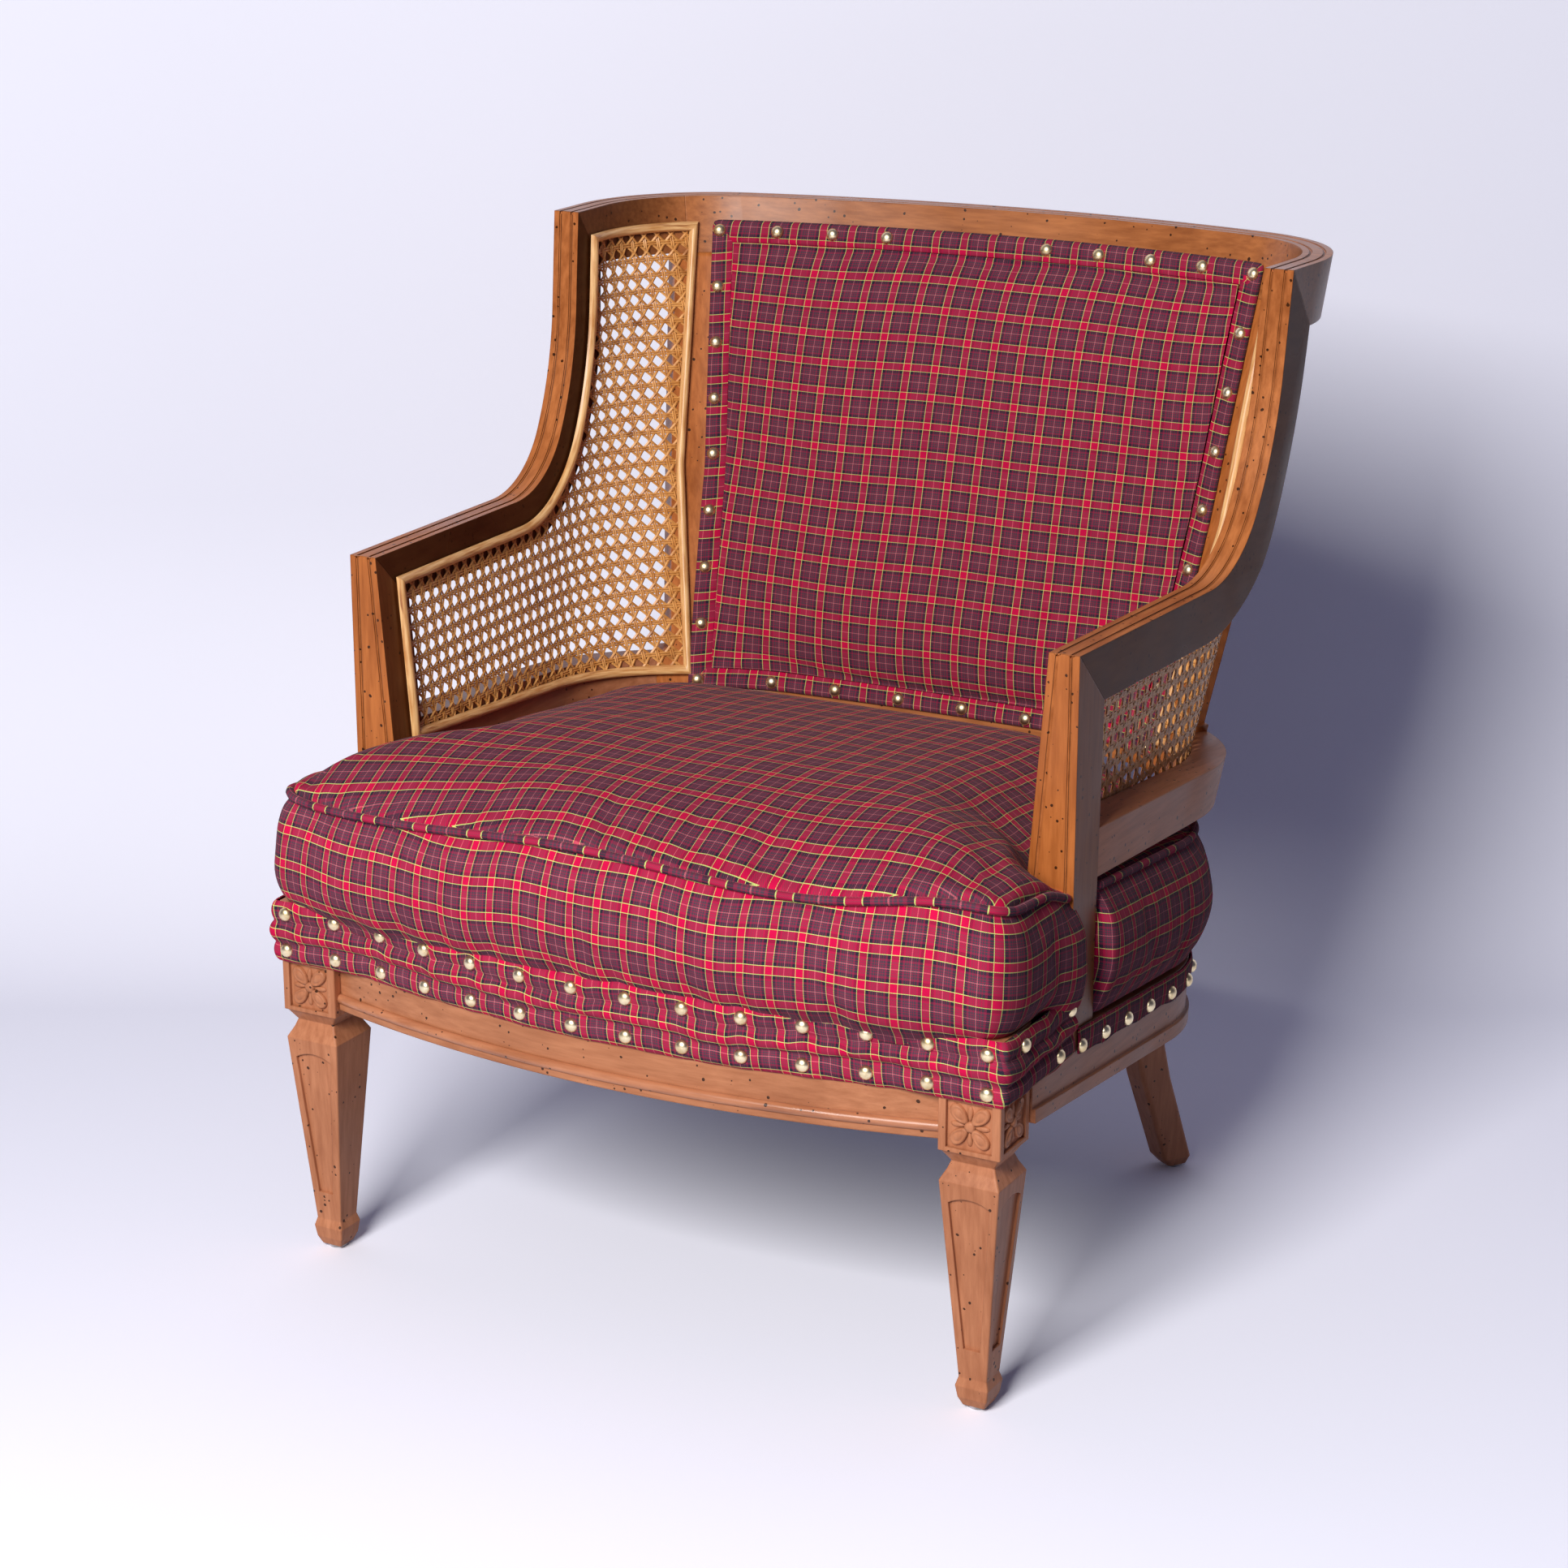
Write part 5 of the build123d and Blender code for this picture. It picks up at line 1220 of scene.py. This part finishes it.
# %% [markdown]
# ## Piping
# A cord covered in the same cloth is sewn into the seat's edge. It is a thin tube along the shared ring,
# in two lengths: round the front from post to post, and round the back behind the posts.

# %% Piping
pipe_radius = 0.0036


def tube(name, line, radius, sides):
    """A tube along a line of points, with its cloth's check laid along and around it."""
    ahead = unit(np.gradient(line, axis=0))
    out = unit(np.cross(ahead, (0, 0, 1.0)))
    up = np.cross(out, ahead)
    length = run_along(line)
    rows, spots = [], []
    for turn in np.linspace(0, 2 * math.pi, sides + 1):
        rows.append(line + radius * (math.cos(turn) * out + math.sin(turn) * up))
        spots.append(np.column_stack([length * 0.5, np.full(len(line), radius * turn + 0.006)]))
    piece = lay_grid(name, rows, spots)
    edit(piece, weld, close_ends, face_out)
    return piece


pipe_y = pipe_line[:, 1] * 1000 + drawing_shift
front_run = pipe_line[pipe_y < notch_front + 1]
behind_post = pipe_y > notch_back - 1
middle = len(pipe_line) // 2
rear_halves = [pipe_line[half][behind_post[half]] for half in (slice(middle, None), slice(1, middle))]
rear_run = np.concatenate(rear_halves)
piping = join([tube("pipe", run, pipe_radius, 8) for run in (front_run, rear_run)], "seat_piping")
dress(piping, seat_plaid_painted_light)
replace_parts(piping, "seat_welt")

# %% [markdown]
# ## Bead on the front rail
# The step along the foot of the bowed front rail is rounded over by a worn, shiny bead from leg to leg.

# %% Rail bead
bead_end, bead_z, bead_out, bead_radius = 273.8, 232.3, 1.0, 0.0042
rail_line = bowed(np.linspace(-bead_end, bead_end, 61), rail_front - bead_out, rail_bow + bead_out)
rail_bead = tube("front_rail_bead", placed(*rail_line.T, bead_z), bead_radius, 12)
dress(rail_bead, bead_wood)

# %% [markdown]
# ## Nails
# Each solid nail shows where a nail goes and which way it looks. One domed nail is shaped from a ball
# and set at every such place, so the rows, the gaps and the two lost nails stay as they were planned.

# %% Nail places
def nail_places(name, towards):
    """Foot and outward direction of each nail in a node; towards gives a rough outward direction."""
    points = points_of(nodes[name])
    spots, spot_of = np.unique(np.round(points, 6), axis=0, return_inverse=True)
    spot_of = spot_of.ravel()
    pairs = spot_of[np.array([edge.vertices[:] for edge in nodes[name].data.edges])]
    label, last = np.arange(len(spots)), None
    while not np.array_equal(label, last):
        last, label = label, label.copy()
        np.minimum.at(label, pairs, last[pairs[:, ::-1]])
    nail_of = label[spot_of]
    places = []
    for nail in dict.fromkeys(nail_of):
        cluster = points[nail_of == nail]
        middle = cluster.mean(axis=0)
        axis = np.linalg.svd(cluster - middle)[2][2]
        axis = axis * (1 if axis @ towards(middle) > 0 else -1)
        places.append((middle + axis * ((cluster - middle) @ axis).min(), axis))
    return places


outward_ways = {
    "seat_band_nails": lambda middle: (middle[0], 0, 0) if middle[1] > -0.31 else (0, -1, 0),
    "seat_edge_nails": lambda middle: (middle[0], middle[1] + 0.05, 0),
    "back_nails": lambda middle: (0, -1, 0),
    "outer_back_nails": lambda middle: (0, 1, 0),
}
nail_rows = {name: nail_places(name, towards) for name, towards in outward_ways.items()}
print({name: len(row) for name, row in nail_rows.items()})

# %% Nails
nail_radius, nail_height, nail_lean, nail_lift = 6.0, 4.3, 0.07, 0.0004


def nail_shape():
    """A low dome with a rolled rim, its underside at the origin and its crown up, in metres."""
    ball = made_by(bpy.ops.mesh.primitive_uv_sphere_add, segments=12, ring_count=8, radius=1)
    cut_off(ball, (0, 0, -0.05), (0, 0, -1))
    shape = points_of(ball)
    swell = 1 + 0.04 * np.clip(np.hypot(shape[:, 0], shape[:, 1]) - 0.9, 0, 1)
    sizes = [nail_radius * swell, nail_radius * swell, np.full(len(shape), nail_height)]
    move_points(ball, shape * np.column_stack(sizes) / 1000)
    return ball


def in_order(piece):
    """Points and faces of a piece, sorted, because a cut leaves them in an order that changes each run."""
    points = points_of(piece)
    order = np.lexsort(np.round(points, 7).T)
    rank = np.argsort(order)
    faces = []
    for polygon in piece.data.polygons:
        face = rank[list(polygon.vertices)].tolist()
        # A quad keeps its first corner or takes the opposite one, so that it is still split the same way.
        stride = 2 if len(face) == 4 else 1
        first = face.index(min(face[::stride]))
        faces.append(face[first:] + face[:first])
    return points[order], sorted(faces)


def set_nails(name, places):
    """One piece holding a nail at each place, each turned and tipped a little, as a hammer leaves them."""
    model = nail_shape()
    shape, faces = in_order(model)
    points, polygons = [], []
    for index, (foot, axis) in enumerate(places):
        sway = (math.sin(7.3 * index), math.cos(5.1 * index), math.sin(3.7 * index + 1))
        tip = nail_lean * np.array(sway)
        axis = unit(axis + tip - axis * (axis @ tip))
        side = unit(np.cross(axis, (0.3, 0.2, 0.93)))
        turn = np.stack([side, np.cross(axis, side), axis])
        points.append(shape @ turn + foot + axis * nail_lift)
        polygons.extend([tuple(corner + index * len(shape) for corner in face) for face in faces])
    mesh = bpy.data.meshes.new(name)
    mesh.from_pydata(np.concatenate(points).tolist(), [], polygons)
    bpy.data.objects.remove(model, do_unlink=True)
    piece = bpy.data.objects.new(name, mesh)
    scene.collection.objects.link(piece)
    edit(piece, face_out)
    dress(piece, brass)
    return piece


for name, places in nail_rows.items():
    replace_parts(set_nails("domed_" + name, places), name)

# %% [markdown]
# ## Strips of cloth
# The front band, edge strip, back border, outside back and dust cover are sheets of cloth. Each is a grid
# laid just off the wood and given its thickness by Solidify. Nails dent all but the dust cover.
# The front band is gathered: it lies in three soft rolls, and the two folds between them wander.

# %% Front band
cloth_thickness, border_thickness, dust_thickness = 0.0011, 0.001, 0.0008
band_dent, strip_dent, border_dent, panel_dent = 0.009, 0.008, 0.011, 0.012


def cloth_sheet(name, points, weave, thickness, material):
    """A grid given its thickness to both sides, with closed edges."""
    piece = lay_grid(name, points, weave)
    edit(piece, weld)
    finish_with(piece, "SUBSURF", levels=1, render_levels=1)
    finish_with(piece, "SOLIDIFY", thickness=thickness, offset=0)
    edit(piece, face_out)
    dress(piece, material)
    return piece


def dent_at(name, at, radius):
    """How deep spots lie in the dents round a row of nails: 1 under a nail, 0 away from all."""
    places = np.array([foot for foot, axis in nail_rows[name]])
    apart = np.linalg.norm(at[..., None, :] - places, axis=-1)
    return np.exp(-((apart / radius) ** 2)).max(axis=-1)


def band_line(out):
    """Plan of the band at a distance off the wood: from the left post round the front to the right one."""
    corner_round, band_end = 1.5, 116.8
    bow = rail_bow + out
    meet_x = math.sqrt(bow**2 - (rail_front + rail_bow + out) ** 2)
    nose = bowed(np.linspace(-1, 1, 91) * meet_x, rail_front - out, bow)
    corner_centre = np.array((frame_half - corner_round, corner_round))
    corner = corner_centre + (corner_round + out) * ray(np.linspace(-math.pi / 2, 0, 7))
    face = np.linspace((meet_x, -out), corner[0], 9)[1:-1]
    side = np.linspace(corner[-1], (frame_half + out, band_end), 17)[1:]
    right = np.concatenate([face, corner, side])
    return np.concatenate([right[::-1] * (-1, 1), nose, right])


def off_wood(line, out):
    """Move each point of a plan line out by its own distance."""
    ahead = unit(np.gradient(line, axis=0))
    return line + np.column_stack([ahead[:, 1], -ahead[:, 0]]) * out[:, None]


def puffed(share):
    """Round swelling of a gather, from 0 at one edge to 1 in its middle and 0 at the other edge."""
    return np.sin(math.pi * np.clip(share, 0, 1)) ** 0.6


band_foot, band_height, band_off, band_nail_depth = 260.5, 51.5, 1.2, 3.0
low_roll, middle_roll, top_roll = 3.8, 6.2, 4.0
band_base = band_line(band_off)
band_run = run_along(band_base)
low_fold = 0.35 + waves(band_run, 0, (0.03, 210, 1, 0.5), (0.02, 83, 1, 1.0))
high_fold = 0.67 + waves(band_run, 0, (0.025, 260, 1, 2.1), (0.02, 97, 1, 0.2))
edge_sway = waves(band_run, 0, (0.9, 150, 1, 0.7), (0.5, 46, 1, 0.1))
check_sway = waves(band_run, 0, (1.2, 130, 1, 0.0), (0.8, 47, 1, 1.2)) / 1000
band_points, band_weave, band_fold = [], [], np.zeros(len(band_run))
for share in np.linspace(0, 1, 27):
    out = low_roll * puffed(share / low_fold)
    out = out + middle_roll * puffed((share - low_fold) / (high_fold - low_fold))
    out = out + top_roll * puffed((share - high_fold) / (1 - high_fold))
    out = out + waves(band_run, 52 * share, (0.5, 61, 90, 0.3), (0.35, 27, 60, 1.4))
    z = band_foot + band_height * share + edge_sway * (0.4 + 0.6 * share)
    trial = off_wood(band_base, np.clip(out, 0, 3))
    out = out + (band_nail_depth - out) * dent_at("seat_band_nails", placed(*trial.T, z), band_dent)
    row = placed(*off_wood(band_base, np.clip(out, -0.4, None)).T, z)
    if band_points:
        band_fold = band_fold + np.linalg.norm(row - band_points[-1], axis=1)
    band_points.append(row)
    band_weave.append(np.column_stack([band_fold + check_sway, band_run / 1000 + 0.006 * share]))
band = cloth_sheet("front_band", band_points, band_weave, cloth_thickness, seat_plaid_painted_light)
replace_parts(band, "seat_front_band")

# %% [markdown]
# ## Edge strip
# Behind the posts the seat's cloth ends in a narrow strip, nailed along the side and rear rails.

# %% Edge strip
strip_front, strip_off, strip_width, strip_drop, strip_nail_depth = 130, 0.9, 21, 20.5, 1.7
strip_parts = np.concatenate([steps(0, 1, 24), steps(1, 2, 36), np.linspace(2, 3, 25)])
strip_base = and_back(rail_plan(frame_half, strip_front, 0).at(strip_parts, -strip_off))
strip_run = run_along(strip_base)
strip_points, strip_weave = [], []
for share in np.linspace(0, 1, 9):
    sway = waves(strip_run, 0, (0.8, 71, 1, 0.3), (0.5, 33, 1, 1.0)) * (1 - share)
    height = strip_width * share - strip_drop + sway
    out = 1.9 * math.sin(math.pi * (0.12 + 0.8 * share)) ** 0.7
    out = out + waves(strip_run, 20 * share, (0.4, 46, 30, 0.2))
    dent = dent_at("seat_edge_nails", tilted(strip_base, height), strip_dent)
    out = out + (strip_nail_depth - out) * dent
    strip_points.append(tilted(off_wood(strip_base, np.clip(out, -0.3, None)), height))
    across = np.full(len(strip_run), strip_width * share + 5)
    strip_weave.append(np.column_stack([across, strip_run]) / 1000)
strip = cloth_sheet("edge_strip", strip_points, strip_weave, cloth_thickness, seat_plaid_painted_light)
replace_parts(strip, "seat_edge_strip")

# %% [markdown]
# ## The stuffed back
# The back pad is a flat panel with softly rolled edges, wider at its top, in front of the curved wall.
# Its front and rear share their rim, so it is a closed form that the cloth solver can fill.

# %% Back pad
web_depth, pad_inset, pad_rim_depth, pad_thick, pad_hollow = 3.7, 18.5, 3.5, 34, 3.2
pad_columns = 57


def back_half(z):
    """Half width of the back panel at a height."""
    return back_foot_half + (back_head_half - back_foot_half) * (z - back_foot) / (back_head - back_foot)


pad_turn = np.cos(math.pi * np.linspace(0, 1, 41))
pad_rows = 0.5 - 0.5 * pad_turn * (0.75 + 0.25 * np.abs(pad_turn))
even = np.linspace(-1, 1, pad_columns)
pad_across = np.sin(math.pi / 2 * even) * 0.55 + even * 0.45
pad_points, pad_weave = [], []
for share in pad_rows:
    z = back_foot + pad_inset + (back_head - back_foot - 2 * pad_inset) * share
    x = (back_half(z) - pad_inset) * pad_across
    rise = (1 - np.abs(pad_across) ** 3.2) ** 0.75 * max(1 - abs(2 * share - 1) ** 4.5, 0) ** 0.75
    wall_y = inner_wall.y_at(x, z, web_depth)
    front = placed(x, wall_y - pad_rim_depth - pad_thick * rise, z)
    rear = placed(x, wall_y - pad_rim_depth + pad_hollow * np.minimum(1, 8 * rise), z)
    pad_points.append(np.concatenate([front, rear[-2::-1]]))
    arc = run_along(np.column_stack([x, wall_y]))
    sway_x = waves(z, x, (0.8, 330, 900, 0.4), (0.4, 150, 500, 1.3))
    sway_z = waves(x, z, (1.0, 420, 1200, 1.0), (0.5, 170, 700, 0.1))
    spot = np.column_stack([arc - arc[pad_columns // 2] + sway_x, z + sway_z]) / 1000
    pad_weave.append(np.concatenate([spot, spot[-2::-1]]))
pad_points = np.array(pad_points)
pad_rim = np.concatenate([pad_points[0], pad_points[-1], pad_points[:, 0], pad_points[:, pad_columns - 1]])
back_pad = lay_grid("back_pad", pad_points, pad_weave)
edit(back_pad, weld, face_out)
x, y, z = points_of(back_pad).T * 1000
against_wall = y + drawing_shift > inner_wall.y_at(x, z, web_depth + 2)
stuff(back_pad, np.maximum(near(back_pad, pad_rim, 0.002), against_wall), 0.005)
finish_with(back_pad, "SUBSURF", levels=1, render_levels=1)
dress(back_pad, plaid)
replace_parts(back_pad, "back_cover", "back_foam")

# %% [markdown]
# ## Border of the back
# A folded strip of the same cloth runs round the pad and is nailed to the frame. Its corners are mitred.

# %% Border
border_nail_depth, border_least, border_edge = 5.1, 4.6, 3
border_rows = [(0.3, 1.0), (1.0, 4.0), (4.0, 5.9), (8.5, 6.0), (13.0, 6.3), (16.6, 6.2), (18.6, 4.6)]
border_corners = closed(np.array([(-back_foot_half, back_foot), (back_foot_half, back_foot),
                                  (back_head_half, back_head), (-back_head_half, back_head)], float))
border_sides = zip(border_corners, border_corners[1:], (64, 56, 72, 56))
border_line = np.concatenate([steps(*ends) for ends in border_sides])
border_run = run_along(closed(border_line))
border_points, border_weave = [], []
for inset, depth in border_rows:
    # The border runs the other way round than the cane's outline, so it is drawn in by a negative inset.
    x, z = closed(drawn_in(border_line, -inset)).T
    hold = np.full(len(x), depth)
    if inset > border_edge:
        wobble = waves(border_run, inset * 4, (0.6, 50, 90, 0.2), (0.5, 23, 60, 0.9))
        wobble[-1] = wobble[0]
        hold = np.clip(depth + wobble, border_least, None)
        dent = dent_at("back_nails", placed(x, inner_wall.y_at(x, z, depth), z), border_dent)
        hold = hold + (border_nail_depth - hold) * dent
    border_points.append(placed(x, inner_wall.y_at(x, z, hold), z))
    border_weave.append(np.column_stack([border_run, np.full(len(x), inset + 7)]) / 1000)
border = cloth_sheet("back_border_strip", border_points, border_weave, border_thickness, plaid)
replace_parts(border, "back_border")

# %% [markdown]
# ## Outside back and dust cover
# The outside of the back is one taut panel. Under the seat a thin black cloth keeps the dust in and sags.

# %% Outside back
panel_foot, panel_head, panel_foot_half, panel_widening = 412, 775, 248, 50
panel_off, panel_puff, panel_least = 2.0, 2.2, 0.7
panel_points, panel_weave = [], []
across = np.linspace(-1, 1, 49)
for share in np.linspace(0, 1, 33):
    z = panel_foot + (panel_head - panel_foot) * share
    x = across * (panel_foot_half + panel_widening * share)
    taut = (1 - across**8) * (1 - abs(2 * share - 1) ** 8)
    puff = panel_off + taut * (panel_puff + waves(x, z, (0.3, 170, 260, 0.3), (0.25, 70, 190, 1.0)))
    dent = dent_at("outer_back_nails", placed(x, outer_wall.y_at(x, z, -1.5), z), panel_dent)
    puff = np.clip(puff + (panel_off - puff) * dent, panel_least, None)
    panel_points.append(placed(x, outer_wall.y_at(x, z, -puff), z))
    panel_weave.append(np.column_stack([x, np.full(len(x), z)]) / 1000)
outside = cloth_sheet("outside_back", panel_points, panel_weave, cloth_thickness, plaid)
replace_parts(outside, "outer_back_panel")

# %% Dust cover
dust_half, dust_side_y, dust_inset, dust_drop, dust_sag = 313, 55, 12, 56.2, 6.5
dust_nose_half, dust_corner_y, dust_front, dust_bow = 270, -4, -16, 979
dust_parts = np.concatenate([steps(3, 2, 16), steps(2, 1, 20), steps(1, 0, 16)])
dust_line = and_back(np.concatenate([
    rail_plan(dust_half, dust_side_y, -dust_inset).at(dust_parts, 0.0),
    steps((dust_half, dust_side_y), (dust_nose_half, dust_side_y), 4),
    steps((dust_nose_half, dust_side_y), (dust_nose_half, dust_corner_y), 4),
    bowed(np.linspace(dust_nose_half, 0, 25), dust_front, dust_bow)]))
dust_points, dust_weave = [], []
for scale in (1.0, 0.97, 0.9, 0.8, 0.68, 0.54, 0.4, 0.26, 0.13, 0.0):
    plan = seat_centre + (dust_line - seat_centre) * scale
    sag = dust_sag * (1 - scale**2) + waves(plan[:, 0], plan[:, 1], (0.8, 170, 260, 0.3)) * (1 - scale**4)
    dust_points.append(tilted(plan, -dust_drop - sag))
    dust_weave.append(plan / 1000)
dust = lay_grid("dust_cloth", dust_points, dust_weave)
edit(dust, weld)
finish_with(dust, "SOLIDIFY", thickness=dust_thickness, offset=0)
edit(dust, face_out)
dress(dust, dust_cloth)
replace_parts(dust, "dust_cover")

# %% [markdown]
# ## Finish of the solid pieces
# Legs, rails, arms, crest and what lies hidden inside stay as they came and only get their finish.
# Grain runs the way the real board would be cut: up the legs and posts, along the rails and round the crest.

# %% Solid pieces
solid_finishes = {
    "front_leg": leg_wood, "rear_leg": leg_wood, "rear_leg_block": raw_wood, "rear_leg_bolts": steel,
    "leg_glides": steel, "front_seat_rail": front_rail_wood, "side_seat_rail": rail_wood,
    "rear_seat_rail": front_rail_wood, "corner_block": raw_wood, "corner_block_screws": steel,
    "arm_post": frame_wood, "arm": arm_wood, "crest": crest_wood, "mid_rail_side": rail_wood,
    "mid_rail_back": crest_wood, "seat_webbing": webbing, "seat_burlap": burlap, "back_webbing": webbing,
}
shown = {name: solid for name, solid in nodes.items() if not solid.hide_render}
for name, solid in shown.items():
    key = max([key for key in solid_finishes if name.startswith(key)], key=len)
    solid.data.materials.clear()
    solid.data.materials.append(solid_finishes[key])
print(len(shown), "solid pieces finished")
